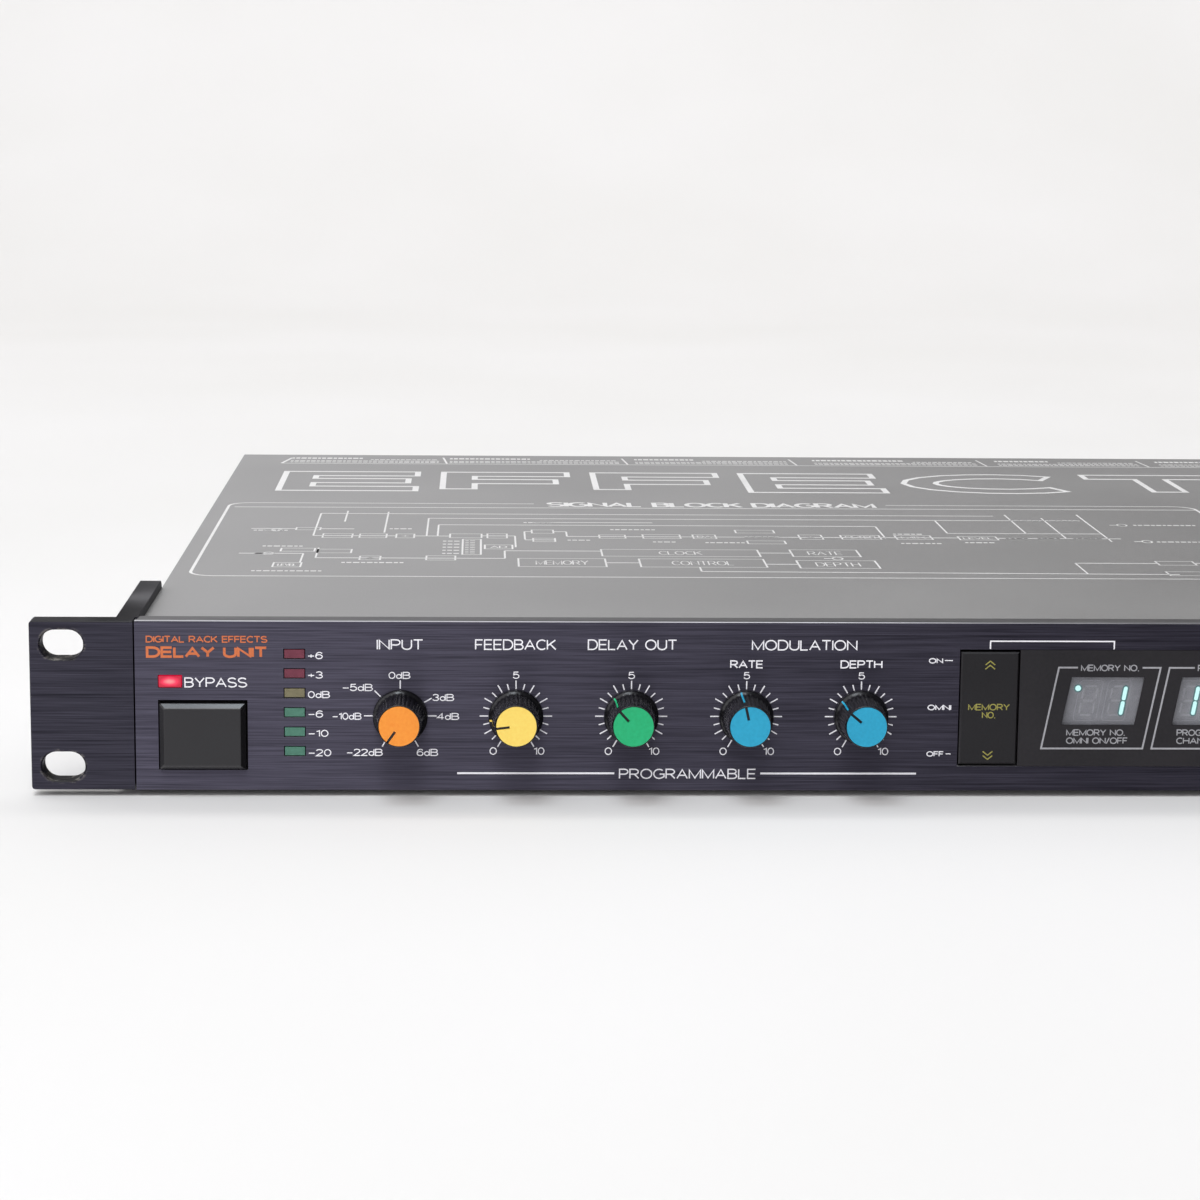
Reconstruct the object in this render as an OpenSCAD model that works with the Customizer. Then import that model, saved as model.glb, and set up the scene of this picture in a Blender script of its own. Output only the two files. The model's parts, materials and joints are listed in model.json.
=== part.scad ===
// Single-height 19-inch rack effects unit.
// Frame: X to the right seen from the front, Y into the rack, Z up.
// The origin is the middle of the four mounting slots, on the back face of the rack ears.

/* [Rack panel] */
// Width over both rack ears
panel_w = 482.6; // [480:0.1:484]
// Height of the front panel and the ears
panel_h = 44; // [43:0.1:44.4]
// Thickness of the ear plates, from the rack rail to the panel face
ear_t = 6; // [4:0.5:8]
// Distance between the left and right mounting slots
slot_pitch_x = 466.2; // [464:0.1:466.6]
// Distance between the upper and lower mounting slots
slot_pitch_z = 31.75; // [31.5:0.05:32]
// Length of a mounting slot from end to end
slot_len = 11; // [9:0.5:12]
// Width of a mounting slot
slot_w = 7.6; // [6.5:0.1:7.8]

/* [Case] */
// Width of the case over its cover
body_w = 428.6; // [426:0.2:430]
// Distance from the ears' back face to the rear panel's outer face
body_depth = 356; // [340:1:370]
// Height of the cover's top face above the slots' centre
cover_z = 19.5; // [18:0.1:20]
// Depth of the base's underside below the slots' centre
base_depth = 20.5; // [20:0.1:21]
// Thickness of the sheet steel
sheet = 1.2; // [1:0.1:1.4]
// Height of the rubber feet
foot_h = 3.2; // [2.5:0.1:4]

/* [Controls] */
// Distance between neighbouring knobs
knob_pitch = 29.65; // [28:0.05:30]
// Diameter of a knob's skirt
skirt_d = 14.1; // [13:0.1:15]
// Diameter of a knob's coloured cap
cap_d = 10.2; // [9:0.1:10.6]
// How far a knob's face stands out of the panel
knob_reach = 13; // [12:0.5:16]
// Travel of the bypass button
bypass_travel = 1.8; // [1:0.1:2]

/* [Sockets] */
// Radius of a phone jack's bore, for a 6.35 mm plug
jack_bore_r = 3.25; // [3.2:0.01:3.4]
// Length of a phone jack's bore
jack_bore_len = 26; // [20:1:28]
// Radius of a DIN socket's well, for a 13.2 mm plug
din_bore_r = 6.7; // [6.65:0.01:6.9]
// Depth of a DIN socket's well
din_bore_len = 8.5; // [7:0.5:10]

/* [Hidden] */
$fn = 48;
gap = 0.05;          // running clearance of a screw or shaft in its hole
screw_r = 1.45;
hole_r = screw_r + gap;
head_t = 1.8;        // height of a pan head
face_y = -ear_t;     // outer face of the front panel
facing_t = 3;        // thickness of the brushed facing
facing_y = face_y + facing_t;
frame_y = 3;         // back of the front frame, where the case starts
facing_w = 429.2;
ear_in_x = 215;      // inner edge of an ear plate, a fine groove away from the facing
flange_t = 5.5;      // side flange of an ear
flange_y = 60;       // rear end of that flange
inner_w = body_w - 2 * sheet;   // over the tray's sides
wall_x = inner_w / 2 - sheet;   // inner face of the tray's sides
floor_z = -base_depth + sheet;  // upper face of the tray's bottom
roof_z = cover_z - sheet;       // lower face of the cover's top
rear_y = body_depth - sheet;    // inner face of the rear panel
board_y = 12;        // front face of the panel board
board_t = 1.6;       // thickness of both circuit boards

// Knobs, left to right: position, and the angle of the pointer from the top, clockwise
knob_z = -2.5;
knob_x0 = -147;
knob_turn = [-145, -97, -42, -13, -50];
function knob_x(i) = knob_x0 + i * knob_pitch;

bypass_c = [-197.4, -7.6];
bypass_size = [22.8, 18.3];
bypass_led_c = [-205.7, 6.4];
bypass_led_size = [6.2, 3.3];
meter_x = -174;
meter_top_z = 13.6;
meter_pitch = 5.08;
meter_size = [5.6, 2.7];

window_x0 = -3.1;    // aperture for both rockers and the display bezel
window_x1 = 146.1;
window_z0 = -15.6;
window_z1 = 15.2;
rocker_w = 15;
rocker_gap = 0.35;   // beside a rocker
swing_gap = 0.65;    // above and below a rocker, for its swing
bezel_x0 = window_x0 + rocker_w + 2 * rocker_gap;
bezel_x1 = window_x1 - rocker_w - 2 * rocker_gap;
window_z = (window_z0 + window_z1) / 2;
// Digit windows in the bezel: left end of the top edge, and width
digit_windows = [[26.1, 19], [54.9, 19], [83.7, 38]];
digit_z0 = -4.6;
digit_z1 = 8;
digit_lean = 2.3;    // the windows' sides lean by this much over their height

key_x = [157.5, 170.5, 183.5];
key_z = [4.5, -11];
key_size = [9.4, 6];
key_led_rise = 6;    // from a key's centre to its lamp's centre
key_led_size = [4, 1.8];
power_c = [201, -3];
power_size = [11, 11];

jack_x = [-188, -162, -136, -96, -70, -44];
jack_z = 0;
din_x = [14, 42, 70];
inlet_x = 168;
slider_x = -116;
slider_travel = 4;

// ---------- helpers ----------

// Block between two corners
module block(lo, hi) translate(lo) cube(hi - lo);

// Rod along Y between y0 and y1
module rod(x, z, y0, y1, r) translate([x, y0, z]) rotate([-90, 0, 0]) cylinder(h = y1 - y0, r = r);

// Rod along X between x0 and x1
module rod_x(y, z, x0, x1, r) translate([x0, y, z]) rotate([0, 90, 0]) cylinder(h = x1 - x0, r = r);

// Extrudes an outline drawn in X and Z from y0 to y1
module slab(y0, y1) translate([0, y1, 0]) rotate([90, 0, 0]) linear_extrude(y1 - y0) children();

// Centred rectangular opening or plate in the XZ plane
module pane(c, size, y0, y1)
    block([c[0] - size[0] / 2, y0, c[1] - size[1] / 2], [c[0] + size[0] / 2, y1, c[1] + size[1] / 2]);

// Pane with round corners
module soft_pane(c, size, r, y0, y1) slab(y0, y1) translate(c) {
    square([size[0] - 2 * r, size[1]], center = true);
    square([size[0], size[1] - 2 * r], center = true);
    for (x = [-1, 1], z = [-1, 1]) translate([x * (size[0] / 2 - r), z * (size[1] / 2 - r)]) circle(r);
}

// Slanted outline of digit window i
module digit_outline(i) {
    w = digit_windows[i];
    polygon([
        [w[0], digit_z1], [w[0] + w[1], digit_z1],
        [w[0] + w[1] - digit_lean, digit_z0], [w[0] - digit_lean, digit_z0]
    ]);
}

// Countersunk screw along +Z, with its face at z = 0
module flat_screw(len) difference() {
    union() {
        cylinder(h = 1.6, r1 = 2.75, r2 = screw_r - 0.05);
        cylinder(h = len, r = screw_r);
    }
    cross_recess(1.2);
}

// Pan-head screw along +Z from its seat at z = 0
module pan_screw(len) difference() {
    union() {
        cylinder(h = len, r = screw_r);
        translate([0, 0, -head_t]) cylinder(h = head_t, r1 = 2.3, r2 = 2.8);
    }
    translate([0, 0, -head_t]) cross_recess(1);
}

module cross_recess(depth) for (a = [0, 90]) rotate(a)
    translate([-1.5, -0.3, -0.01]) cube([3, 0.6, depth]);

// ---------- case ----------

ear_screw_y = [14, 46];
ear_screw_z = [-10, 10];
cover_screw_y = [110, 215, 320];
cover_screw_z = -8;
rear_screw_x = 206;
rear_screw_z = [-12, 11];
standoffs = concat([for (x = [-190, -90, 20, 92], y = [66, 192, 342]) [x, y]], [[188, 66], [188, 186]]);
standoff_h = 6;
shank_r = 2.2;                       // a standoff's shank in the tray's bottom
shank_h = 0.9;
feet = [for (x = [-180, 180], y = [30, 325]) [x, y]];
foot_r = 8;

module chassis_tray() color([0.16, 0.16, 0.17]) difference() {
    union() {
        block([-inner_w / 2, frame_y, -base_depth], [inner_w / 2, rear_y, floor_z]);
        for (s = [-1, 1]) {
            x0 = s > 0 ? wall_x : -inner_w / 2;
            block([x0, frame_y, -base_depth], [x0 + sheet, rear_y, roof_z]);
            tab = s > 0 ? wall_x - 13 : -wall_x;
            block([tab, rear_y - sheet, -base_depth], [tab + 13, rear_y, roof_z]);
        }
        block([-wall_x, frame_y, -base_depth], [wall_x, frame_y + sheet, floor_z + 4]);
    }
    for (s = [-1, 1]) {
        for (y = ear_screw_y, z = ear_screw_z) rod_x(y, z, s * 220 - 12, s * 220 + 12, hole_r);
        for (y = cover_screw_y) rod_x(y, cover_screw_z, s * 214 - 6, s * 214 + 6, hole_r);
        for (z = rear_screw_z) rod(s * rear_screw_x, z, rear_y - 4, rear_y + 2, hole_r);
    }
    for (p = standoffs) translate([p[0], p[1], floor_z - shank_h]) cylinder(h = shank_h + 1, r = shank_r);
}

// Threaded posts that the main board stands on, with their shanks pressed into the tray's bottom
module board_standoffs() color([0.7, 0.7, 0.7]) for (p = standoffs) translate([p[0], p[1], floor_z]) difference() {
    union() {
        cylinder(h = standoff_h, r = 3);
        translate([0, 0, -shank_h]) cylinder(h = shank_h + 0.5, r = shank_r);
    }
    translate([0, 0, 1]) cylinder(h = standoff_h, r = hole_r);
}

module top_cover() color([0.42, 0.42, 0.41]) difference() {
    block([-body_w / 2, frame_y, floor_z], [body_w / 2, body_depth, cover_z]);
    block([-inner_w / 2, frame_y - 1, floor_z - 1], [inner_w / 2, body_depth + 1, roof_z]);
    for (s = [-1, 1]) {
        for (y = ear_screw_y, z = ear_screw_z) rod_x(y, z, s * 220 - 12, s * 220 + 12, hole_r);
        for (y = cover_screw_y) rod_x(y, cover_screw_z, s * 214 - 6, s * 214 + 6, hole_r);
    }
}

module rear_panel() color([0.13, 0.13, 0.14]) difference() {
    block([-inner_w / 2, rear_y, -base_depth], [inner_w / 2, body_depth, roof_z]);
    for (s = [-1, 1], z = rear_screw_z) rod(s * rear_screw_x, z, rear_y - 1, body_depth + 1, hole_r);
    for (x = jack_x) rod(x, jack_z, rear_y - 1, body_depth + 1, 4.5 + gap);
    for (x = din_x) rod(x, jack_z, rear_y - 1, body_depth + 1, 7.9 + gap);
    pane([inlet_x, jack_z], [27.4, 20], rear_y - 1, body_depth + 1);
    pane([slider_x, jack_z], [slider_travel + 5, 4.6], rear_y - 1, body_depth + 1);
}

module front_panel() color([0.13, 0.12, 0.15]) difference() {
    block([-facing_w / 2, face_y, -panel_h / 2], [facing_w / 2, facing_y, panel_h / 2]);
    for (i = [0:4]) rod(knob_x(i), knob_z, face_y - 1, facing_y + 1, 3.5 + gap);
    pane(bypass_c, bypass_size, face_y - 1, facing_y + 1);
    pane(bypass_led_c, bypass_led_size, face_y - 1, facing_y + 1);
    for (i = [0:5]) pane([meter_x, meter_top_z - i * meter_pitch], meter_size, face_y - 1, facing_y + 1);
    block([window_x0, face_y - 1, window_z0], [window_x1, facing_y + 1, window_z1]);
    for (x = key_x, z = key_z) {
        pane([x, z], key_size, face_y - 1, facing_y + 1);
        pane([x, z + key_led_rise], key_led_size, face_y - 1, facing_y + 1);
    }
    pane(power_c, power_size, face_y - 1, facing_y + 1);
}

// Ring behind the facing, with lugs that the ear screws reach
frame_side = 3.4;
frame_rail = 3.2;
frame_h = panel_h - 0.6;
lug_t = 3;
lug_y = [1, 22];
module front_frame() color([0.3, 0.3, 0.3]) difference() {
    union() {
        block([-body_w / 2, facing_y, -frame_h / 2], [body_w / 2, frame_y, frame_h / 2]);
        for (s = [0, 1]) mirror([s, 0, 0])
            block([wall_x - lug_t, lug_y[0], -15], [wall_x, lug_y[1], 15]);
    }
    block([-body_w / 2 + frame_side, facing_y - 1, -frame_h / 2 + frame_rail],
          [body_w / 2 - frame_side, lug_y[0], frame_h / 2 - frame_rail]);
    block([-wall_x + lug_t, facing_y - 1, -frame_h / 2 + frame_rail],
          [wall_x - lug_t, frame_y + 1, frame_h / 2 - frame_rail]);
    for (s = [-1, 1], z = ear_screw_z) rod_x(ear_screw_y[0], z, s * 220 - 14, s * 220 + 14, hole_r);
}

// Plate of the right ear, with rounded corners and a chamfer on its three outer edges
ear_corner = 1;
ear_chamfer = 0.3;
ear_w = panel_w / 2 - ear_in_x;
module ear_plate() intersection() {
    slab(face_y, 0) {
        translate([ear_in_x, -panel_h / 2]) square([ear_w - ear_corner, panel_h]);
        translate([ear_in_x, -panel_h / 2 + ear_corner]) square([ear_w, panel_h - 2 * ear_corner]);
        for (s = [-1, 1])
            translate([panel_w / 2 - ear_corner, s * (panel_h / 2 - ear_corner)]) circle(ear_corner);
    }
    bevelled([ear_in_x + ear_w / 2 - 1, 0], [ear_w + 2, panel_h], face_y, 1, ear_chamfer);
}

// Chamfer round the front of a mounting slot
slot_chamfer = 0.4;
module slot_rim(x, z) {
    r = slot_w / 2;
    straight = slot_len - slot_w;
    for (s = [-1, 1])
        translate([x + s * straight / 2, face_y - 0.01, z]) rotate([-90, 0, 0])
            cylinder(h = slot_chamfer + 0.01, r1 = r + slot_chamfer, r2 = r);
    translate([x - straight / 2, 0, z]) rotate([90, 0, 90]) linear_extrude(straight) polygon([
        [face_y - 0.01, -r - slot_chamfer], [face_y + slot_chamfer, -r],
        [face_y + slot_chamfer, r], [face_y - 0.01, r + slot_chamfer]
    ]);
}

// Right ear; the left one is its mirror image
flange_corner = 4;
module ear() difference() {
    union() {
        ear_plate();
        translate([body_w / 2, 0, 0]) rotate([90, 0, 90]) linear_extrude(flange_t) {
            translate([0, -panel_h / 2]) square([flange_y - flange_corner, panel_h]);
            translate([0, -panel_h / 2 + flange_corner]) square([flange_y, panel_h - 2 * flange_corner]);
            for (s = [-1, 1])
                translate([flange_y - flange_corner, s * (panel_h / 2 - flange_corner)]) circle(flange_corner);
        }
    }
    for (z = [-1, 1] * slot_pitch_z / 2) {
        for (s = [-1, 1])
            rod(slot_pitch_x / 2 + s * (slot_len - slot_w) / 2, z, face_y - 1, 1, slot_w / 2);
        pane([slot_pitch_x / 2, z], [slot_len - slot_w, slot_w], face_y - 1, 1);
        slot_rim(slot_pitch_x / 2, z);
    }
    for (y = ear_screw_y, z = ear_screw_z) {
        rod_x(y, z, body_w / 2 - 1, body_w / 2 + flange_t + 1, hole_r);
        translate([body_w / 2 + flange_t - 1.6, y, z]) rotate([0, 90, 0])
            cylinder(h = 1.65, r1 = hole_r, r2 = 2.97);
    }
}

module rack_ear_right() color([0.15, 0.14, 0.17]) ear();
module rack_ear_left() color([0.15, 0.14, 0.17]) mirror([1, 0, 0]) ear();

module ear_screws() color([0.1, 0.1, 0.1])
    for (s = [0, 1], y = ear_screw_y, z = ear_screw_z)
        mirror([s, 0, 0]) translate([body_w / 2 + flange_t - 0.1, y, z]) rotate([0, -90, 0]) flat_screw(10);

// One kind of screw holds the cover, the rear panel and the main board
module case_screws() color([0.1, 0.1, 0.1]) {
    for (s = [0, 1], y = cover_screw_y)
        mirror([s, 0, 0]) translate([body_w / 2, y, cover_screw_z]) rotate([0, -90, 0]) pan_screw(5);
    for (s = [-1, 1], z = rear_screw_z)
        translate([s * rear_screw_x, body_depth, z]) rotate([90, 0, 0]) pan_screw(5);
    for (p = standoffs) translate([p[0], p[1], board_z + board_t]) rotate([180, 0, 0]) pan_screw(5);
}

module rubber_feet() color([0.05, 0.05, 0.05]) for (p = feet)
    translate([p[0], p[1], -base_depth - foot_h]) cylinder(h = foot_h, r1 = foot_r - 0.8, r2 = foot_r);

// ---------- knobs ----------

ribs = 30;
skirt_y = face_y - 0.7;              // back edge of the skirt
knob_y = face_y - knob_reach;        // outer face of the knob
grip_r = 5.5;
cap_t = 0.8;
cap_seat = 0.6;                      // depth of the cap's recess
nut_t = 1.6;
shaft_r = 3;

// Outline of the ribbed grip
function rib_outline() = [for (i = [0:2 * ribs - 1])
    let(a = i * 180 / ribs, r = grip_r + (i % 2 == 0 ? 0.18 : -0.18)) [r * sin(a), r * cos(a)]];

// Moves children to knob i and turns them to the pointer's angle; the pointer is drawn upward
module at_knob(i) translate([knob_x(i), 0, knob_z]) rotate([0, knob_turn[i], 0]) children();

module knob(i) color([0.07, 0.07, 0.08]) at_knob(i) difference() {
    union() {
        translate([0, skirt_y, 0]) rotate([90, 0, 0]) cylinder(h = 1.5, r = skirt_d / 2);
        translate([0, skirt_y - 1.5, 0]) rotate([90, 0, 0]) cylinder(h = 1.6, r1 = skirt_d / 2, r2 = 5.9);
        slab(knob_y + 0.4, skirt_y - 1) polygon(rib_outline());
        rod(0, 0, knob_y + 0.15, knob_y + 1, cap_d / 2 + 0.25);
    }
    rod(0, 0, skirt_y - 2.1, skirt_y + 1, 5.9);
    rod(0, 0, knob_y + 4.5, skirt_y, shaft_r + gap);
    rod(0, 0, knob_y - 1, knob_y + cap_seat, cap_d / 2 + gap);
}

module knob_input() knob(0);
module knob_feedback() knob(1);
module knob_delay_out() knob(2);
module knob_rate() knob(3);
module knob_depth() knob(4);

// Coloured disc with the pointer's notch
module cap(i) at_knob(i) difference() {
    rod(0, 0, knob_y, knob_y + cap_seat, cap_d / 2);
    pane([0, 4.2], [0.7, 5], knob_y - 1, knob_y + 1);
}

module cap_input() color([0.95, 0.5, 0.13]) cap(0);
module cap_feedback() color([0.93, 0.8, 0.3]) cap(1);
module cap_delay_out() color([0.1, 0.66, 0.36]) cap(2);
module cap_rate() color([0.12, 0.6, 0.76]) cap(3);
module cap_depth() color([0.12, 0.6, 0.76]) cap(4);

shaft_end_y = knob_y + 4.6;
pot_y = facing_y + 0.2;              // front of the pot's body
pot_len = 7.6;
module shaft(i) color([0.7, 0.7, 0.7]) rod(knob_x(i), knob_z, shaft_end_y, pot_y + pot_len + 1, shaft_r);

module shaft_input() shaft(0);
module shaft_feedback() shaft(1);
module shaft_delay_out() shaft(2);
module shaft_rate() shaft(3);
module shaft_depth() shaft(4);

module pot_bodies() color([0.6, 0.6, 0.62]) for (i = [0:4]) difference() {
    union() {
        rod(knob_x(i), knob_z, face_y - nut_t, pot_y + 1, 3.5);
        rod(knob_x(i), knob_z, pot_y, pot_y + pot_len, 8);
        for (x = [-5, 0, 5])
            pane([knob_x(i) + x, knob_z - 9.5], [0.8, 5], pot_y + 3, pot_y + 3.6);
        for (x = [-5, 0, 5])
            pane([knob_x(i) + x, knob_z - 11.6], [0.8, 0.8], pot_y + 3, board_y);
        pane([knob_x(i), knob_z - 8.4], [13, 2], pot_y + 2.4, pot_y + 4.2);
    }
    rod(knob_x(i), knob_z, face_y - nut_t - 1, pot_y + pot_len + 1, shaft_r + gap);
}

// Hexagonal nuts of the pots, and those of the phone jacks with a washer each
module panel_nuts() color([0.75, 0.75, 0.75]) {
    for (i = [0:4]) difference() {
        translate([knob_x(i), face_y, knob_z]) rotate([90, 0, 0]) cylinder(h = nut_t, r = 5.6, $fn = 6);
        rod(knob_x(i), knob_z, face_y - nut_t - 1, face_y + 1, 3.5 + gap);
    }
    for (x = jack_x) difference() {
        union() {
            rod(x, jack_z, body_depth, body_depth + 0.6, 7);
            translate([x, body_depth + 3, jack_z]) rotate([90, 0, 0]) cylinder(h = 2.4, r = 6.6, $fn = 6);
        }
        rod(x, jack_z, body_depth - 1, body_depth + 5, 4.5 + gap);
    }
}

// ---------- buttons, lamps and display ----------

// Block from y0 to y1 with a sloped rim round its front
module bevelled(c, size, y0, y1, bevel) intersection() {
    translate([c[0] - size[0] / 2, 0, c[1]]) rotate([90, 0, 90]) linear_extrude(size[0])
        bevel_outline(size[1] / 2, y0, y1, bevel);
    translate([c[0], 0, c[1] - size[1] / 2]) mirror([1, -1, 0]) linear_extrude(size[1])
        bevel_outline(size[0] / 2, y0, y1, bevel);
}

// Half-width a on both sides of a front at y0 and a back at y1
module bevel_outline(a, y0, y1, bevel) polygon([
    [y0, -a + bevel], [y0 + bevel, -a], [y1, -a], [y1, a], [y0 + bevel, a], [y0, a - bevel]
]);

// Cap of a push button, a little low in its opening
cap_margin = [0.8, 1.1];             // how much smaller than its opening it is
cap_drop = 0.2;
module button_cap(c, size, reach, bevel)
    bevelled(c - [0, cap_drop], size - cap_margin, face_y - reach, facing_y + 0.4, bevel);

// Push button: a cap that stands out of the panel by reach, a flange behind it and a stem to its switch
module button(c, size, reach, bevel, travel) {
    button_cap(c, size, reach, bevel);
    pane(c, size + [1.6, 1.6], facing_y + 0.3, facing_y + 1.5);
    pane(c, [3, 3], facing_y + 1, tact_y - travel - 0.3);
}

tact_y = 8;                          // front of a tact switch's plunger
module bypass_button() color([0.08, 0.08, 0.09]) button(bypass_c, bypass_size, 2, 1.2, bypass_travel);

// Lamp bar in its opening, with two leads to the panel board
lamp_margin = [0.5, 0.5];
module lamp(c, size, proud) {
    pane(c, size - lamp_margin, face_y - proud, facing_y + 4);
    for (x = [-1, 1]) pane([c[0] + x * 1.27, c[1]], [0.5, 0.5], facing_y + 4, board_y);
}

module meter_lamps(which) for (i = which) lamp([meter_x, meter_top_z - i * meter_pitch], meter_size, -0.1);

module bypass_led() color([0.9, 0.05, 0.15]) lamp(bypass_led_c, bypass_led_size, 0.3);
module meter_leds_red() color([0.4, 0.13, 0.2]) meter_lamps([0, 1]);
module meter_led_yellow() color([0.45, 0.42, 0.28]) meter_lamps([2]);
module meter_leds_green() color([0.2, 0.45, 0.36]) meter_lamps([3, 4, 5]);
module key_leds() color([0.4, 0.13, 0.2]) for (x = key_x, z = key_z)
    lamp([x, z + key_led_rise], key_led_size, -0.1);

// Rocker that tips about a pin across its middle
rocker_t = 4;
rocker_reach = 0.4;                  // how far its face stands out of the panel
pin_y = 0;                           // axis of the rockers' pins
pin_r = 1;
rocker_h = window_z1 - window_z0 - 2 * swing_gap;
function rocker_x(side) = side < 0 ? window_x0 + rocker_gap : bezel_x1 + rocker_gap;
module rocker(side) color([0.1, 0.1, 0.1]) {
    x0 = rocker_x(side);
    y0 = face_y - rocker_reach;
    bevelled([x0 + rocker_w / 2, window_z], [rocker_w, rocker_h], y0, y0 + rocker_t, 0.4);
    for (z = [-11, 11])
        pane([x0 + rocker_w / 2, window_z + z], [3, 3], y0 + rocker_t - 0.5, tact_y - 1);
    for (x = [x0 + 3, x0 + rocker_w - 3])
        pane([x, window_z], [1.5, 4], y0 + rocker_t - 0.5, pin_y + 1);
    rod_x(pin_y, window_z, x0 + 2.5, x0 + rocker_w - 2.5, pin_r);
}

module memory_rocker() rocker(-1);
module value_rocker() rocker(1);

// Opaque plate between the rockers, with cradles behind it that hold the rockers' pins
module display_bezel() color([0.1, 0.1, 0.11]) difference() {
    union() {
        block([bezel_x0, face_y, window_z0 + 0.1], [bezel_x1, facing_y, window_z1 - 0.1]);
        block([bezel_x0, facing_y, window_z0 - 1.5], [bezel_x1, facing_y + 1.5, window_z1 + 1.5]);
        for (s = [-1, 1]) {
            x0 = rocker_x(s) + rocker_w / 2;
            block([x0 - 1.8, pin_y - 1.7, window_z - 3], [x0 + 1.8, pin_y + 3.2, window_z + 3]);
            edge = s < 0 ? bezel_x0 : bezel_x1 - 2;
            block([min(x0, edge), pin_y + 1.8, window_z - 3], [max(x0, edge + 2), pin_y + 3.2, window_z + 3]);
            block([edge, facing_y, window_z - 3], [edge + 2, pin_y + 3.2, window_z + 3]);
        }
    }
    for (i = [0:2]) slab(face_y - 1, facing_y + 2) digit_outline(i);
    block([lens_x[0] - 0.1, lens_y, lens_z[0] - 0.1], [lens_x[1] + 0.1, facing_y + 2, lens_z[1] + 0.1]);
    for (s = [-1, 1]) rod_x(pin_y, window_z, rocker_x(s), rocker_x(s) + rocker_w, pin_r + gap);
}

// Clear lens in a pocket of the bezel, and the display modules behind it
lens_t = 1.2;
lens_y = face_y + 0.4;
lens_x = [digit_windows[0][0] - 5, digit_windows[2][0] + digit_windows[2][1] + 3];
lens_z = [digit_z0 - 2, digit_z1 + 2];
module display_lens() color([0.5, 0.55, 0.55, 0.5])
    block([lens_x[0], lens_y, lens_z[0]], [lens_x[1], lens_y + lens_t, lens_z[1]]);

module digit_displays() color([0.45, 0.47, 0.46]) for (w = digit_windows)
    block([w[0] - 4.2, lens_y + lens_t + 0.1, digit_z0 - 1.5], [w[0] + w[1] + 1.5, board_y, digit_z1 + 1.5]);

module key(c) color([0.12, 0.12, 0.13]) button(c, key_size, 1.4, 0.5, 1);

module key_invert() key([key_x[0], key_z[0]]);
module key_hold() key([key_x[1], key_z[0]]);
module key_filter() key([key_x[2], key_z[0]]);
module key_shift() key([key_x[0], key_z[1]]);
module key_edit() key([key_x[1], key_z[1]]);
module key_write() key([key_x[2], key_z[1]]);

power_travel = 3;
stem_end = board_y + 4;              // inner end of the power button's stem
module power_button() color([0.08, 0.08, 0.09]) {
    button_cap(power_c, power_size, 4.3, 0.8);
    pane(power_c, power_size + [1.6, 1.6], facing_y + 0.3, facing_y + 1.5);
    pane(power_c, [4, 4], facing_y + 1, stem_end);
}

module power_switch() color([0.2, 0.2, 0.2]) difference() {
    pane(power_c, [12, 16], board_y + board_t, board_y + 24);
    pane(power_c, [5, 5], board_y, stem_end + power_travel + 0.4);
}

// Switches on the panel board, one behind each button and two behind each rocker
module tact(c) {
    pane(c, [6, 6], tact_y + 0.8, board_y);
    rod(c[0], c[1], tact_y, tact_y + 1, 1.7);
}
module tact_switches() color([0.25, 0.25, 0.25]) {
    tact(bypass_c);
    for (s = [-1, 1], z = [-11, 11]) tact([rocker_x(s) + rocker_w / 2, window_z + z]);
    for (x = key_x, z = key_z) tact([x, z]);
}

// ---------- electronics ----------

module panel_board() color([0.1, 0.32, 0.18]) difference() {
    block([-208, board_y, -17.5], [208, board_y + board_t, 15.5]);
    pane(power_c, [6, 6], board_y - 1, board_y + board_t + 1);
}

board_z = floor_z + standoff_h;
board_top = board_z + board_t;
main_x = [-200, 100];
main_y = [58, 350];
module main_board() color([0.1, 0.32, 0.18]) difference() {
    union() {
        block([main_x[0], main_y[0], board_z], [main_x[1], main_y[1], board_top]);
        block([0, main_y[0], board_z], [196, 194, board_top]);
    }
    for (p = standoffs) translate([p[0], p[1], board_z - 1]) cylinder(h = board_t + 2, r = hole_r);
}

// Rows of DIP packages, one size to a row
chip_rows = [[80, 8, 18], [112, 9, 20], [144, 6, 38], [176, 9, 20], [208, 5, 52], [240, 9, 20], [272, 8, 18]];
module circuit_chips() color([0.06, 0.06, 0.06]) for (row = chip_rows, i = [0:row[1] - 1]) {
    pitch = (main_x[1] - main_x[0] - 20) / row[1];
    x = main_x[0] + 10 + pitch * (i + 0.5);
    wide = min(row[2], pitch - 6);
    deep = row[2] > 30 ? 13.5 : 6.5;
    block([x - wide / 2, row[0] - deep / 2, board_top], [x + wide / 2, row[0] + deep / 2, board_top + 3.5]);
}

cap_row = [for (i = [0:8]) [-185 + i * 32, 305]];
filter_caps = [[120, 100], [142, 100], [164, 100]];
module capacitors() color([0.1, 0.15, 0.35]) {
    for (p = cap_row) translate([p[0], p[1], board_top]) cylinder(h = 11, r = 3.2);
    for (p = filter_caps) translate([p[0], p[1], board_top]) cylinder(h = 25, r = 8);
}

// Iron core, winding and mounting feet
module transformer() color([0.35, 0.32, 0.3]) {
    block([125, 255, floor_z], [185, 305, floor_z + 32]);
    block([137, 247, floor_z + 5], [173, 313, floor_z + 29]);
    block([117, 270, floor_z], [193, 290, floor_z + 1.5]);
}

sink_y = 150;
module regulator_heatsink() color([0.55, 0.55, 0.56]) {
    block([115, sink_y, board_top], [181, sink_y + 3, board_top + 26]);
    for (i = [0:9])
        block([115 + i * 7.16, sink_y + 2, board_top], [116.5 + i * 7.16, sink_y + 22, board_top + 26]);
}

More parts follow.
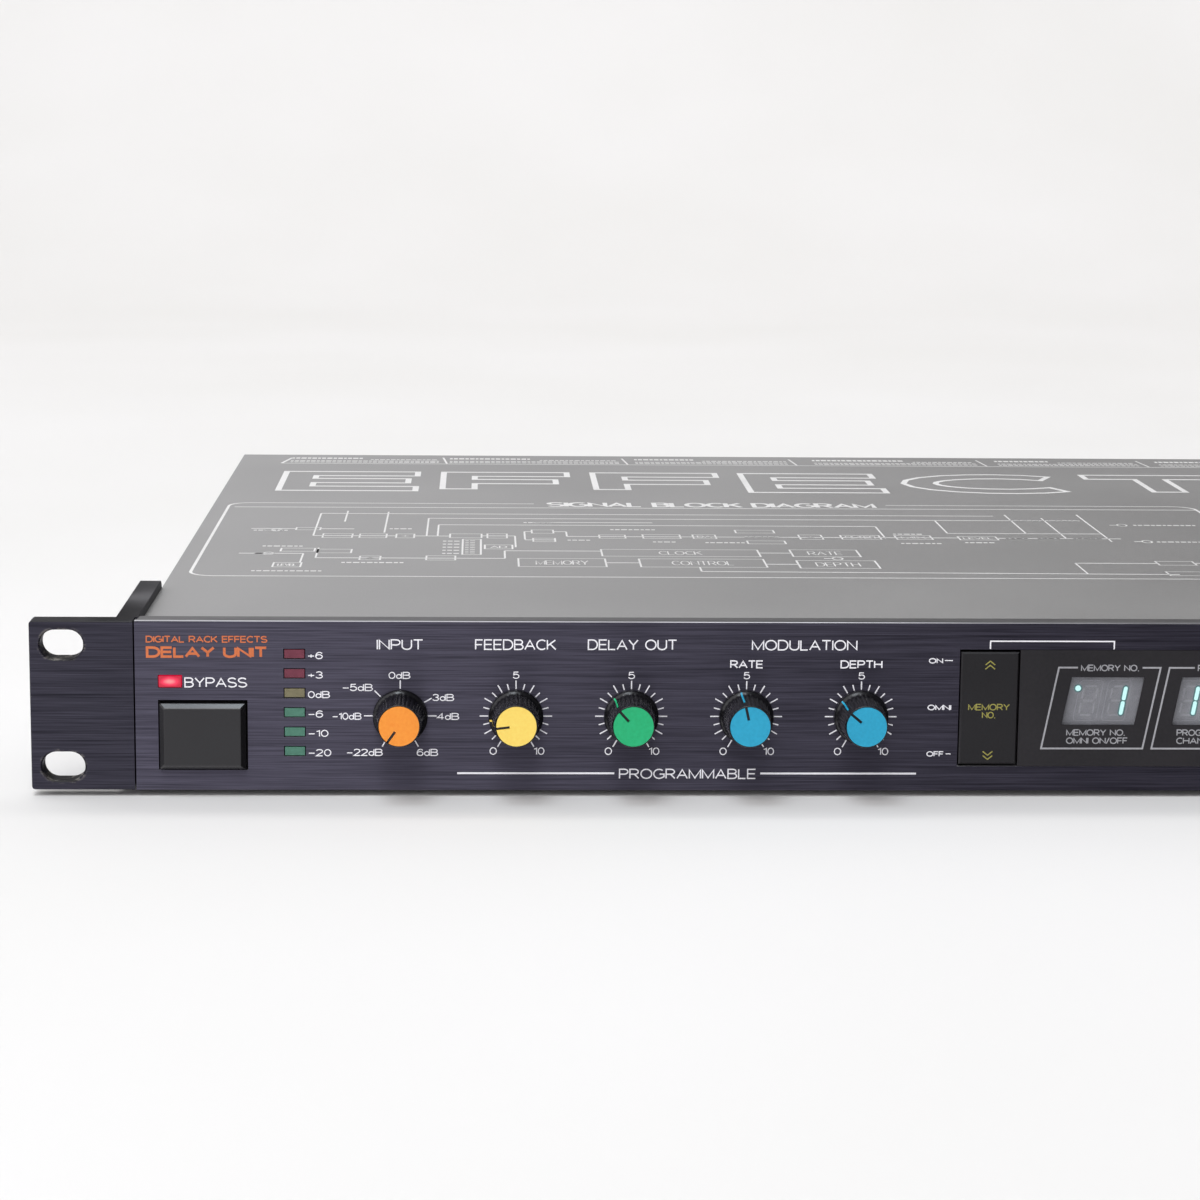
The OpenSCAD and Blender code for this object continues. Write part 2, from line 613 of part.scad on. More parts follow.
module regulators() color([0.06, 0.06, 0.06]) for (x = [128, 148, 168]) {
    block([x - 5, sink_y - 4.5, board_top + 6], [x + 5, sink_y, board_top + 22]);
    for (pin = [-2.5, 0, 2.5])
        block([x + pin - 0.4, sink_y - 3, board_top], [x + pin + 0.4, sink_y - 2.5, board_top + 7]);
}

// ---------- rear sockets ----------

jack_out = 5.5;                      // bushing's reach past the rear panel
module phone_jacks() color([0.12, 0.12, 0.12]) for (x = jack_x) difference() {
    union() {
        rod(x, jack_z, rear_y - 1, body_depth + jack_out, 4.5);
        pane([x, jack_z], [14, 14], rear_y - 25, rear_y);
        for (lead = [-4, 4])
            block([x + lead - 0.6, rear_y - 24, board_top], [x + lead + 0.6, rear_y - 23.2, jack_z - 6]);
    }
    rod(x, jack_z, body_depth + jack_out - jack_bore_len, body_depth + jack_out + 1, jack_bore_r);
}

din_face = 1.5;
module din_sockets() color([0.06, 0.06, 0.06]) for (x = din_x) difference() {
    union() {
        rod(x, jack_z, body_depth, body_depth + din_face, 9.6);
        rod(x, jack_z, rear_y - 11, body_depth + 0.5, 7.9);
        for (lead = [-2.5, 2.5])
            block([x + lead - 0.5, rear_y - 7, board_top], [x + lead + 0.5, rear_y - 6.4, jack_z - 7]);
    }
    rod(x, jack_z, body_depth + din_face - din_bore_len, body_depth + din_face + 1, din_bore_r);
    for (a = [0:45:180]) rod(x + 3.5 * cos(a), jack_z - 3.5 * sin(a), rear_y - 9, body_depth, 0.8);
}

inlet_well = [24.4, 16.4, 16];
inlet_face = 2;
module power_inlet() color([0.06, 0.06, 0.06]) {
    difference() {
        union() {
            soft_pane([inlet_x, jack_z], [31, 24], 2, body_depth, body_depth + inlet_face);
            pane([inlet_x, jack_z], [27, 19.6], rear_y - 18, body_depth + 0.5);
        }
        pane([inlet_x, jack_z], [inlet_well[0], inlet_well[1]],
             body_depth + inlet_face - inlet_well[2], body_depth + inlet_face + 1);
    }
    for (p = [[-7, -1.5], [7, -1.5], [0, 2.5]])
        pane([inlet_x + p[0], jack_z + p[1]], [2, 4], rear_y - 16, body_depth + inlet_face - 5);
}

slider_c = [slider_x, jack_z];
module level_switch() color([0.5, 0.5, 0.5]) difference() {
    union() {
        pane(slider_c, [15, 7], rear_y - 8, rear_y);
        for (lead = [slider_x - 4, slider_x, slider_x + 4])
            block([lead - 0.5, rear_y - 7, board_top], [lead + 0.5, rear_y - 6.4, jack_z - 3]);
    }
    pane(slider_c, [slider_travel + 4.6, 4.2], rear_y - 4, rear_y + 1);
}

module level_slider() color([0.05, 0.05, 0.05])
    pane([slider_x - slider_travel / 2, jack_z], [4, 3.6], rear_y - 3.5, body_depth + 2.2);

// ---------- one node, or all of them ----------

chassis_tray();
board_standoffs();
top_cover();
rear_panel();
front_panel();
front_frame();
rack_ear_left();
rack_ear_right();
ear_screws();
case_screws();
rubber_feet();
knob_input();
knob_feedback();
knob_delay_out();
knob_rate();
knob_depth();
cap_input();
cap_feedback();
cap_delay_out();
cap_rate();
cap_depth();
shaft_input();
shaft_feedback();
shaft_delay_out();
shaft_rate();
shaft_depth();
pot_bodies();
panel_nuts();
bypass_button();
bypass_led();
meter_leds_red();
meter_led_yellow();
meter_leds_green();
memory_rocker();
value_rocker();
display_bezel();
display_lens();
digit_displays();
key_invert();
key_hold();
key_filter();
key_shift();
key_edit();
key_write();
key_leds();
power_button();
power_switch();
tact_switches();
panel_board();
main_board();
circuit_chips();
capacitors();
transformer();
regulator_heatsink();
regulators();
phone_jacks();
din_sockets();
power_inlet();
level_switch();
level_slider();
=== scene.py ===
import json
import math

import bpy
from mathutils import Matrix, Vector
from mathutils.geometry import delaunay_2d_cdt


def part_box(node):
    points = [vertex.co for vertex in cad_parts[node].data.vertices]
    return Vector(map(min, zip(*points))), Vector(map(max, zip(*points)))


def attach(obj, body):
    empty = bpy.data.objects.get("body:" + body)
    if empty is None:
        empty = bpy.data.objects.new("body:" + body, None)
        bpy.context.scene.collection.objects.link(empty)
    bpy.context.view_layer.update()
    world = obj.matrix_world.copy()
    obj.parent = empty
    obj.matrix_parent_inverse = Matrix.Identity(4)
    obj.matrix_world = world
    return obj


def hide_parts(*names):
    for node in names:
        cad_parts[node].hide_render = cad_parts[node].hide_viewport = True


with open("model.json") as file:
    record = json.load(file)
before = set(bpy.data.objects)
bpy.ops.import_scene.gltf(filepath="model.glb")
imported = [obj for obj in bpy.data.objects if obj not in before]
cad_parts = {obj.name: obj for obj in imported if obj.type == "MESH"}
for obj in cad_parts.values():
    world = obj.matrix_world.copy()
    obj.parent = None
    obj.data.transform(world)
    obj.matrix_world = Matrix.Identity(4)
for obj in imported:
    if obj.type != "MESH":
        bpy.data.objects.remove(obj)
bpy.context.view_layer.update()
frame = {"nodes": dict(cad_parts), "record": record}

MM = 0.001
NODES = frame["nodes"]
FACE_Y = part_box("front_panel")[0].y
COVER_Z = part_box("top_cover")[1].z
REAR_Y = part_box("rear_panel")[1].y
FLOOR_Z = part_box("rubber_feet")[0].z
INK = 0.03 * MM  # how far printed ink stands off its surface
USUAL = (0.3, 0.7)  # most values of a noise texture lie between these


# ---------- materials ----------

def srgb(r, g, b):
    """Linear colour of an 8-bit sRGB one."""
    shares = (r / 255, g / 255, b / 255)
    return (*(c / 12.92 if c <= 0.04045 else ((c + 0.055) / 1.055) ** 2.4 for c in shares), 1.0)


class Shader:
    """A Principled material driven by object coordinates, which are metres in the row frame."""

    def __init__(self, name, **constants):
        self.material = bpy.data.materials.new(name)
        self.material.use_nodes = True
        tree = self.material.node_tree
        self.nodes, self.links = tree.nodes, tree.links
        self.bsdf = next(n for n in self.nodes if n.type == "BSDF_PRINCIPLED")
        self.coord = self.nodes.new("ShaderNodeTexCoord").outputs["Object"]
        for socket, value in constants.items():
            self.bsdf.inputs[socket.replace("_", " ")].default_value = value

    def feed(self, socket, value):
        if isinstance(value, bpy.types.NodeSocket):
            self.links.new(value, socket)
        else:
            socket.default_value = value

    def drive(self, **inputs):
        for socket, value in inputs.items():
            self.feed(self.bsdf.inputs[socket.replace("_", " ")], value)
        return self

    def noise(self, scale, detail=3.0, roughness=0.55, shift=0.0):
        """Noise with its own number of cycles to the metre along X, Y and Z."""
        mapping = self.nodes.new("ShaderNodeMapping")
        self.links.new(self.coord, mapping.inputs["Vector"])
        mapping.inputs["Scale"].default_value = scale
        mapping.inputs["Location"].default_value = (shift, shift, shift)
        noise = self.nodes.new("ShaderNodeTexNoise")
        self.links.new(mapping.outputs["Vector"], noise.inputs["Vector"])
        noise.inputs["Scale"].default_value = 1.0
        noise.inputs["Detail"].default_value = detail
        noise.inputs["Roughness"].default_value = roughness
        return noise.outputs["Fac"]

    def ramp(self, value, *stops):
        ramp = self.nodes.new("ShaderNodeValToRGB")
        self.links.new(value, ramp.inputs["Fac"])
        elements = ramp.color_ramp.elements
        for i, (place, colour) in enumerate(stops):
            element = elements[i] if i < 2 else elements.new(place)
            element.position = place
            element.color = colour
        return ramp.outputs["Color"]

    def shade(self, value, dark, light, low=USUAL[0], high=USUAL[1]):
        """Dark where value is low, light where it is high."""
        return self.ramp(value, (low, dark), (high, light))

    def spread(self, value, low, high, out_low, out_high):
        node = self.nodes.new("ShaderNodeMapRange")
        for socket, v in zip(node.inputs, (value, low, high, out_low, out_high)):
            self.feed(socket, v)
        return node.outputs["Result"]

    def math(self, operation, *values):
        node = self.nodes.new("ShaderNodeMath")
        node.operation = operation
        for socket, v in zip(node.inputs, values):
            self.feed(socket, v)
        return node.outputs["Value"]

    def weigh(self, a, b, share):
        """Sum of a and b in which a has this share."""
        return self.math("ADD", self.math("MULTIPLY", a, share), self.math("MULTIPLY", b, 1 - share))

    def distance(self, a, b):
        """Length of the hypotenuse over a and b."""
        squares = (self.math("MULTIPLY", side, side) for side in (a, b))
        return self.math("SQRT", self.math("ADD", *squares))

    def mix(self, factor, a, b):
        node = self.nodes.new("ShaderNodeMix")
        node.data_type = "RGBA"
        for index, v in ((0, factor), (6, a), (7, b)):
            self.feed(node.inputs[index], v)
        return node.outputs[2]

    def axes(self, output="Object"):
        """X, Y and Z of the object coordinates, or of the surface's normal."""
        split = self.nodes.new("ShaderNodeSeparateXYZ")
        coordinates = self.nodes.new("ShaderNodeTexCoord")
        self.links.new(coordinates.outputs[output], split.inputs["Vector"])
        return split.outputs[:3]

    def roughen(self, value, smooth, rough):
        """Roughness that follows a noise."""
        self.drive(Roughness=self.spread(value, *USUAL, smooth, rough))

    def bump(self, height, depth):
        node = self.nodes.new("ShaderNodeBump")
        node.inputs["Distance"].default_value = depth
        self.links.new(height, node.inputs["Height"])
        self.links.new(node.outputs["Normal"], self.bsdf.inputs["Normal"])


def plain(name, dark, light, cycles, rough, depth, **constants):
    """Moulded, painted or plated surface: a fine grain over a broad drift of colour."""
    s = Shader(name, **constants)
    grain = s.noise((cycles,) * 3, detail=3)
    drift = s.noise((40, 40, 40), detail=2, shift=3.1)
    s.drive(Base_Color=s.shade(s.weigh(grain, drift, 0.5), dark, light, 0.36, 0.64))
    s.roughen(drift, *rough)
    s.bump(grain, depth)
    return s.material


def brushed(name, dark, light, **constants):
    """Anodised aluminium brushed along X: long fine scratches over a faint drift."""
    s = Shader(name, Anisotropic=0.9, Anisotropic_Rotation=0.25, **constants)
    fine = s.noise((55, 55, 4200), detail=2, roughness=0.6)
    coarse = s.noise((14, 14, 1900), detail=2, roughness=0.6, shift=1.7)
    drift = s.noise((8, 8, 25), detail=2, shift=4.0)
    scratches = s.weigh(fine, coarse, 0.6)
    s.tone = s.weigh(scratches, drift, 0.9)
    s.colour = s.shade(s.tone, dark, light, 0.33, 0.67)
    s.drive(Base_Color=s.colour)
    s.roughen(scratches, 0.38, 0.5)
    s.bump(scratches, 0.02 * MM)
    # Scratches along X spread a reflection upward and downward
    tangent = s.nodes.new("ShaderNodeTangent")
    tangent.direction_type = "RADIAL"
    tangent.axis = "Z"
    s.links.new(tangent.outputs["Tangent"], s.bsdf.inputs["Tangent"])
    return s


def panel_material():
    """Black facing with a bright bare line along its front top and bottom edges."""
    s = brushed("facing_brushed", srgb(46, 44, 55), srgb(87, 84, 99), Metallic=0.75)
    on_edge = s.spread(s.math("ABSOLUTE", s.axes("Normal")[2]), 0.4, 0.6, 0.0, 1.0)
    near_front = s.spread(s.axes()[1], FACE_Y + 1.2 * MM, FACE_Y + 1.4 * MM, 1.0, 0.0)
    grey = s.mix(on_edge, s.colour, srgb(98, 97, 98))
    bare = s.shade(s.tone, srgb(168, 168, 172), srgb(196, 196, 200), 0.35, 0.65)
    s.drive(Base_Color=s.mix(s.math("MULTIPLY", on_edge, near_front), grey, bare))
    return s.material


def ear_material():
    """Black ear: greyer where it faces up, and scuffed to bare metal in and round its slots."""
    s = brushed("ear_brushed", srgb(34, 33, 41), srgb(67, 65, 76), Metallic=0.7,
                Specular_Tint=(0.35, 0.35, 0.36, 1.0))
    x, y, z = s.axes()
    across = s.math("SUBTRACT", s.math("ABSOLUTE", x), SLOT_X)
    along = s.math("MAXIMUM", s.math("SUBTRACT", s.math("ABSOLUTE", across), SLOT_HALF - SLOT_R), 0.0)
    up = s.math("SUBTRACT", s.math("ABSOLUTE", z), SLOT_Z)
    ring = s.spread(s.distance(along, up), SLOT_R, SLOT_R + 0.9 * MM, 1.0, 0.0)
    scuffs = s.noise((420, 300, 1100), detail=5, roughness=0.7, shift=2.3)
    worn = s.math("MULTIPLY", ring, s.spread(scuffs, 0.5, 0.64, 0.0, 0.55))
    facing_up = s.spread(s.axes("Normal")[2], 0.5, 0.7, 0.0, 1.0)
    base = s.mix(facing_up, s.colour, srgb(44, 43, 44))
    s.drive(Base_Color=s.mix(worn, base, srgb(170, 165, 156)))
    return s.material


def cover_material():
    """Matt grey enamel with a fine orange-peel."""
    s = Shader("cover_enamel", Specular_IOR_Level=0.5)
    speckle = s.noise((1300, 1300, 1300), detail=4, roughness=0.7)
    cloud = s.noise((7, 5, 5), detail=3, shift=5.0)
    tone = s.weigh(speckle, cloud, 0.6)
    s.drive(Base_Color=s.shade(tone, srgb(116, 115, 113), srgb(142, 141, 139), 0.34, 0.66))
    s.roughen(speckle, 0.42, 0.56)
    s.bump(speckle, 0.05 * MM)
    return s.material


def lit_lamp_material():
    """Lit red lamp: pale where the chip sits behind the diffuser, deep red toward its rim."""
    s = Shader("lamp_lit_red", Roughness=0.3, Emission_Strength=0.95)
    low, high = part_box("bypass_led")
    x, y, z = s.axes()
    away = []
    for axis, a, b in ((x, low.x, high.x), (z, low.z, high.z)):
        away.append(s.math("DIVIDE", s.math("SUBTRACT", axis, (a + b) / 2), (b - a) / 2))
    cloud = s.noise((900, 900, 900), detail=2)
    glow = s.math("ADD", s.distance(*away), s.spread(cloud, *USUAL, -0.06, 0.06))
    core, body, rim = srgb(255, 150, 150), srgb(250, 50, 92), srgb(196, 8, 50)
    s.drive(Base_Color=s.shade(glow, srgb(120, 20, 30), srgb(90, 4, 20), 0.2, 1.0))
    s.drive(Emission_Color=s.ramp(glow, (0.2, core), (1.0, rim), (0.62, body)))
    return s.material


def glow_material(name, colour, strength):
    """Light behind a pale diffuser, a little uneven."""
    s = Shader(name, Roughness=0.4, Emission_Strength=strength)
    grain = s.noise((900, 900, 900), detail=2)
    dimmer = tuple(0.94 * c for c in colour[:3]) + (1.0,)
    s.drive(Base_Color=s.shade(grain, srgb(90, 120, 120), srgb(120, 150, 150)))
    s.drive(Emission_Color=s.shade(grain, dimmer, colour))
    return s.material


def board_material():
    """Green solder resist over a maze of tracks."""
    s = Shader("board_resist", Specular_IOR_Level=0.5)
    tracks = s.noise((230, 60, 230), detail=2)
    runs = s.noise((60, 230, 60), detail=2, shift=2.0)
    lines = s.math("ABSOLUTE", s.math("SUBTRACT", s.math("MULTIPLY", tracks, runs), 0.25))
    copper = s.spread(lines, 0.004, 0.012, 1.0, 0.0)
    s.drive(Base_Color=s.mix(copper, srgb(18, 72, 40), srgb(52, 118, 70)))
    s.roughen(tracks, 0.28, 0.42)
    s.bump(copper, 0.03 * MM)
    return s.material


def lens_material():
    """Thin smoked window."""
    s = Shader("lens_smoked", Alpha=0.22, Specular_IOR_Level=0.4)
    smudge = s.noise((60, 60, 60), detail=3)
    s.drive(Base_Color=s.shade(smudge, srgb(96, 98, 104), srgb(112, 114, 120)))
    s.roughen(smudge, 0.08, 0.16)
    return s.material


rack = next(m for m in frame["record"]["mounts"] if m["name"] == "rack_slots")["dims"]
SLOT_X, SLOT_Z = rack["spacing_x_mm"] / 2 * MM, rack["spacing_y_mm"] / 2 * MM
SLOT_R, SLOT_HALF = rack["hole_r_mm"] * MM, rack["slot_length_mm"] / 2 * MM

MATERIALS = {
    "panel": panel_material(),
    "ear": ear_material(),
    "cover": cover_material(),
    "board": board_material(),
    "lens": lens_material(),
    "lamp_on": lit_lamp_material(),
    "segment": glow_material("segment_lit", srgb(205, 255, 252), 1.5),
    "halo": glow_material("segment_halo", srgb(60, 170, 170), 0.3),
}
# Look, material, dark tone, light tone, grain's cycles to the metre, roughness from and to,
# grain's depth in millimetres, and how metallic it is
PLAIN_LOOKS = [
    ("steel_black", "powder_coat_black", (30, 30, 31), (48, 47, 48), 900, (0.5, 0.65), 0.03, 0),
    ("frame", "casting_grey", (60, 59, 59), (72, 71, 71), 500, (0.5, 0.6), 0.01, 0),
    ("screw", "black_oxide", (26, 26, 27), (50, 49, 50), 700, (0.32, 0.5), 0.01, 0.8),
    ("rubber", "rubber_feet_black", (14, 14, 14), (28, 28, 28), 800, (0.7, 0.85), 0.04, 0),
    ("knob", "knob_satin", (9, 9, 11), (18, 17, 21), 900, (0.22, 0.32), 0.004, 0),
    ("plated", "zinc_plate", (150, 150, 150), (190, 189, 186), 500, (0.28, 0.45), 0.01, 1),
    ("button", "button_satin", (8, 7, 11), (15, 13, 18), 1400, (0.2, 0.28), 0.006, 0),
    ("rocker", "rocker_satin", (12, 10, 14), (20, 18, 22), 1400, (0.42, 0.55), 0.012, 0),
    ("bezel", "bezel_satin", (22, 20, 24), (32, 29, 33), 1200, (0.4, 0.52), 0.008, 0),
    ("chip", "moulded_black", (18, 18, 19), (34, 34, 35), 900, (0.5, 0.65), 0.02, 0),
    ("socket", "socket_black", (16, 16, 17), (32, 32, 33), 700, (0.35, 0.5), 0.01, 0),
    ("sleeve", "capacitor_sleeve", (18, 32, 84), (34, 52, 120), 300, (0.25, 0.4), 0.01, 0),
    ("core", "transformer_varnish", (70, 58, 46), (112, 98, 84), 500, (0.4, 0.6), 0.03, 0.4),
    ("heatsink", "heatsink_aluminium", (120, 120, 121), (158, 158, 160), 400, (0.35, 0.5), 0.01, 0.9),
    ("display", "display_grey", (176, 176, 182), (196, 196, 202), 400, (0.35, 0.5), 0.01, 0),
    ("cell", "display_cell", (196, 197, 202), (214, 215, 220), 700, (0.4, 0.5), 0.01, 0),
    ("lamp_red", "lamp_off_red", (98, 30, 50), (116, 44, 64), 900, (0.3, 0.42), 0.004, 0),
    ("lamp_yellow", "lamp_off_yellow", (110, 104, 76), (128, 121, 92), 900, (0.3, 0.42), 0.004, 0),
    ("lamp_green", "lamp_off_green", (62, 114, 94), (78, 132, 112), 900, (0.3, 0.42), 0.004, 0),
    ("ink_white", "ink_white", (236, 235, 240), (250, 249, 253), 1500, (0.5, 0.6), 0.01, 0),
    ("ink_grey", "ink_grey", (150, 150, 154), (172, 172, 176), 1500, (0.5, 0.6), 0.01, 0),
    ("ink_cover", "ink_cover", (210, 209, 207), (226, 225, 223), 1500, (0.5, 0.6), 0.01, 0),
    ("ink_orange", "ink_orange", (198, 100, 52), (214, 116, 66), 1500, (0.5, 0.6), 0.01, 0),
    ("ink_olive", "ink_olive", (142, 136, 60), (160, 154, 76), 1500, (0.5, 0.6), 0.01, 0),
    ("cap_input", "cap_satin_input", (244, 141, 36), (250, 157, 50), 1200, (0.38, 0.5), 0.006, 0),
    ("cap_feedback", "cap_satin_feedback", (250, 214, 96), (254, 226, 114), 1200, (0.38, 0.5), 0.006, 0),
    ("cap_delay_out", "cap_satin_delay_out", (8, 172, 108), (20, 186, 122), 1200, (0.38, 0.5), 0.006, 0),
    ("cap_rate", "cap_satin_rate", (18, 150, 188), (30, 166, 203), 1200, (0.38, 0.5), 0.006, 0),
    ("cap_depth", "cap_satin_depth", (18, 150, 188), (30, 166, 203), 1200, (0.38, 0.5), 0.006, 0),
]
for look, name, dark, light, cycles, rough, depth, metal in PLAIN_LOOKS:
    MATERIALS[look] = plain(name, srgb(*dark), srgb(*light), cycles, rough, depth * MM, Metallic=metal)

KNOBS = ["input", "feedback", "delay_out", "rate", "depth"]
KEYS = ["invert", "hold", "filter", "shift", "edit", "write"]
NODE_LOOKS = {
    "panel": ["front_panel"],
    "ear": ["rack_ear_left", "rack_ear_right"],
    "cover": ["top_cover"],
    "steel_black": ["chassis_tray", "rear_panel"],
    "frame": ["front_frame"],
    "screw": ["ear_screws", "case_screws"],
    "rubber": ["rubber_feet"],
    "plated": ["pot_bodies", "panel_nuts", "board_standoffs", "level_switch"],
    "button": ["bypass_button", "power_button"],
    "rocker": ["memory_rocker", "value_rocker"],
    "bezel": ["display_bezel"],
    "lens": ["display_lens"],
    "display": ["digit_displays"],
    "lamp_on": ["bypass_led"],
    "lamp_red": ["meter_leds_red", "key_leds"],
    "lamp_yellow": ["meter_led_yellow"],
    "lamp_green": ["meter_leds_green"],
    "board": ["panel_board", "main_board"],
    "chip": ["circuit_chips", "regulators", "tact_switches", "power_switch"],
    "sleeve": ["capacitors"],
    "core": ["transformer"],
    "heatsink": ["regulator_heatsink"],
    "socket": ["phone_jacks", "din_sockets", "power_inlet", "level_slider"],
}
for key in KEYS:
    NODE_LOOKS["button"].append("key_" + key)
for knob in KNOBS:
    NODE_LOOKS["plated"].append("shaft_" + knob)
    NODE_LOOKS["cap_" + knob] = ["cap_" + knob]
for look, names in NODE_LOOKS.items():
    for name in names:
        for material_slot in NODES[name].material_slots:
            material_slot.material = MATERIALS[look]


def soften(node):
    """Break a moulded button's sharp edges with a small rounded bevel."""
    obj = NODES[node]
    weld = obj.modifiers.new("weld", "WELD")
    weld.merge_threshold = 0.002 * MM
    bevel = obj.modifiers.new("bevel", "BEVEL")
    bevel.width = 0.25 * MM
    bevel.segments = 2
    bevel.limit_method = "ANGLE"
    bevel.angle_limit = math.radians(35)


for node in ("bypass_button", "power_button"):
    soften(node)


# ---------- lettering ----------

def arc(cx, cy, rx, ry, start, stop):
    """Points along an ellipse, from angle start to stop in degrees, anticlockwise from +X."""
    steps = max(2, math.ceil(abs(stop - start) / 20))
    angles = [math.radians(start + (stop - start) * i / steps) for i in range(steps + 1)]
    return [(cx + rx * math.cos(a), cy + ry * math.sin(a)) for a in angles]


def loop(cx, cy, rx, ry):
    return arc(cx, cy, rx, ry, 0, 360)


# Centre lines of a plain sans alphabet, one capital high; each glyph is its width and its strokes
P_BOWL = [(0, 0), (0, 1), (0.34, 1)] + arc(0.34, 0.73, 0.26, 0.27, 90, -90) + [(0, 0.46)]
GLYPHS = {
    "A": (0.74, [[(0, 0), (0.37, 1), (0.74, 0)], [(0.13, 0.34), (0.61, 0.34)]]),
    "B": (0.62, [[(0.36, 0.53), (0, 0.53), (0, 1), (0.36, 1)] + arc(0.36, 0.765, 0.22, 0.235, 90, -90),
                 [(0, 0.53), (0, 0), (0.36, 0)] + arc(0.36, 0.265, 0.26, 0.265, -90, 90)]),
    "C": (0.64, [arc(0.38, 0.5, 0.38, 0.5, 48, 312)]),
    "D": (0.68, [[(0.32, 0), (0, 0), (0, 1), (0.32, 1)] + arc(0.32, 0.5, 0.36, 0.5, 90, -90)]),
    "E": (0.56, [[(0.56, 1), (0, 1), (0, 0), (0.56, 0)], [(0, 0.52), (0.52, 0.52)]]),
    "F": (0.52, [[(0.52, 1), (0, 1), (0, 0)], [(0, 0.5), (0.46, 0.5)]]),
    "G": (0.74, [arc(0.38, 0.5, 0.38, 0.5, 48, 300) + [(0.74, 0.18), (0.74, 0.47), (0.42, 0.47)]]),
    "H": (0.66, [[(0, 0), (0, 1)], [(0.66, 0), (0.66, 1)], [(0, 0.52), (0.66, 0.52)]]),
    "I": (0.0, [[(0, 0), (0, 1)]]),
    "J": (0.46, [[(0.46, 1), (0.46, 0.25)] + arc(0.23, 0.25, 0.23, 0.25, 0, -170)]),
    "K": (0.62, [[(0, 0), (0, 1)], [(0.6, 1), (0, 0.38)], [(0.2, 0.58), (0.63, 0)]]),
    "L": (0.5, [[(0, 1), (0, 0), (0.5, 0)]]),
    "M": (0.8, [[(0, 0), (0, 1), (0.4, 0.02), (0.8, 1), (0.8, 0)]]),
    "N": (0.66, [[(0, 0), (0, 1), (0.66, 0), (0.66, 1)]]),
    "O": (0.78, [loop(0.39, 0.5, 0.39, 0.5)]),
    "P": (0.6, [P_BOWL]),
    "Q": (0.78, [loop(0.39, 0.5, 0.39, 0.5), [(0.46, 0.26), (0.76, -0.02)]]),
    "R": (0.64, [P_BOWL, [(0.32, 0.46), (0.63, 0)]]),
    "S": (0.62, [arc(0.31, 0.75, 0.29, 0.25, 25, 270) + arc(0.31, 0.25, 0.31, 0.25, 90, -155)]),
    "T": (0.62, [[(0, 1), (0.62, 1)], [(0.31, 1), (0.31, 0)]]),
    "U": (0.64, [[(0, 1), (0, 0.32)] + arc(0.32, 0.32, 0.32, 0.32, 180, 360) + [(0.64, 1)]]),
    "V": (0.7, [[(0, 1), (0.35, 0), (0.7, 1)]]),
    "W": (1.0, [[(0, 1), (0.25, 0), (0.5, 0.96), (0.75, 0), (1, 1)]]),
    "X": (0.66, [[(0, 0), (0.66, 1)], [(0, 1), (0.66, 0)]]),
    "Y": (0.68, [[(0, 1), (0.34, 0.46), (0.68, 1)], [(0.34, 0.46), (0.34, 0)]]),
    "Z": (0.6, [[(0, 1), (0.6, 1), (0, 0), (0.6, 0)]]),
    "0": (0.54, [loop(0.27, 0.5, 0.27, 0.5)]),
    "1": (0.24, [[(0, 0.8), (0.12, 0.84), (0.24, 1), (0.24, 0)]]),
    "2": (0.54, [arc(0.27, 0.73, 0.27, 0.27, 165, -35) + [(0, 0), (0.54, 0)]]),
    "3": (0.54, [arc(0.26, 0.76, 0.24, 0.24, 160, -90), arc(0.26, 0.26, 0.28, 0.26, 90, -160)]),
    "4": (0.58, [[(0.42, 0), (0.42, 1), (0, 0.3), (0.58, 0.3)]]),
    "5": (0.54, [[(0.48, 1), (0.08, 1), (0.04, 0.47)], arc(0.26, 0.33, 0.28, 0.33, 140, -160)]),
    "6": (0.54, [loop(0.27, 0.32, 0.27, 0.32), arc(0.31, 0.45, 0.31, 0.55, 45, 190)]),
    "7": (0.54, [[(0, 1), (0.54, 1), (0.2, 0)]]),
    "8": (0.54, [loop(0.27, 0.76, 0.23, 0.24), loop(0.27, 0.26, 0.27, 0.26)]),
    "9": (0.54, [loop(0.27, 0.68, 0.27, 0.32), arc(0.23, 0.55, 0.31, 0.55, 225, 370)]),
    "d": (0.46, [loop(0.22, 0.32, 0.22, 0.32), [(0.46, 0), (0.46, 1)]]),
    "+": (0.5, [[(0, 0.42), (0.5, 0.42)], [(0.25, 0.17), (0.25, 0.67)]]),
    "-": (0.5, [[(0, 0.42), (0.5, 0.42)]]),
    ".": (0.12, [[(0, 0), (0.12, 0)]]),
    "/": (0.34, [[(0, -0.02), (0.34, 1.02)]]),
    " ": (0.3, []),
}
LETTER_GAP = 0.15
TINY = 1e-6  # millimetres, or square millimetres, that count as nothing
LEAST_COSINE = 0.3  # between a mitre and its sides' normals, so that a sharp corner's mitre stays short


def ribbon(path, width):
    """Quads of even width along a path. Corners are mitred, and a path that ends at its start closes."""
    points = [Vector(path[0])]
    for p in path[1:]:
        if (Vector(p) - points[-1]).length > TINY:
            points.append(Vector(p))
    closed = len(points) > 2 and (points[0] - points[-1]).length < TINY
    if closed:
        points.pop()
    count = len(points)
    sides = []
    for i, p in enumerate(points):
        ahead = (points[(i + 1) % count] - p).normalized() if closed or i < count - 1 else None
        behind = (p - points[i - 1]).normalized() if closed or i else None
        ahead, behind = ahead or behind, behind or ahead
        n0, n1 = Vector((-behind.y, behind.x)), Vector((-ahead.y, ahead.x))
        normal = (n0 + n1).normalized()
        reach = width / 2 / max(LEAST_COSINE, normal.dot(n1))
        sides.append((p + normal * reach, p - normal * reach))
    pairs = zip(sides, sides[1:] + sides[:1]) if closed else zip(sides, sides[1:])
    return [[a[0], b[0], b[1], a[1]] for a, b in pairs]


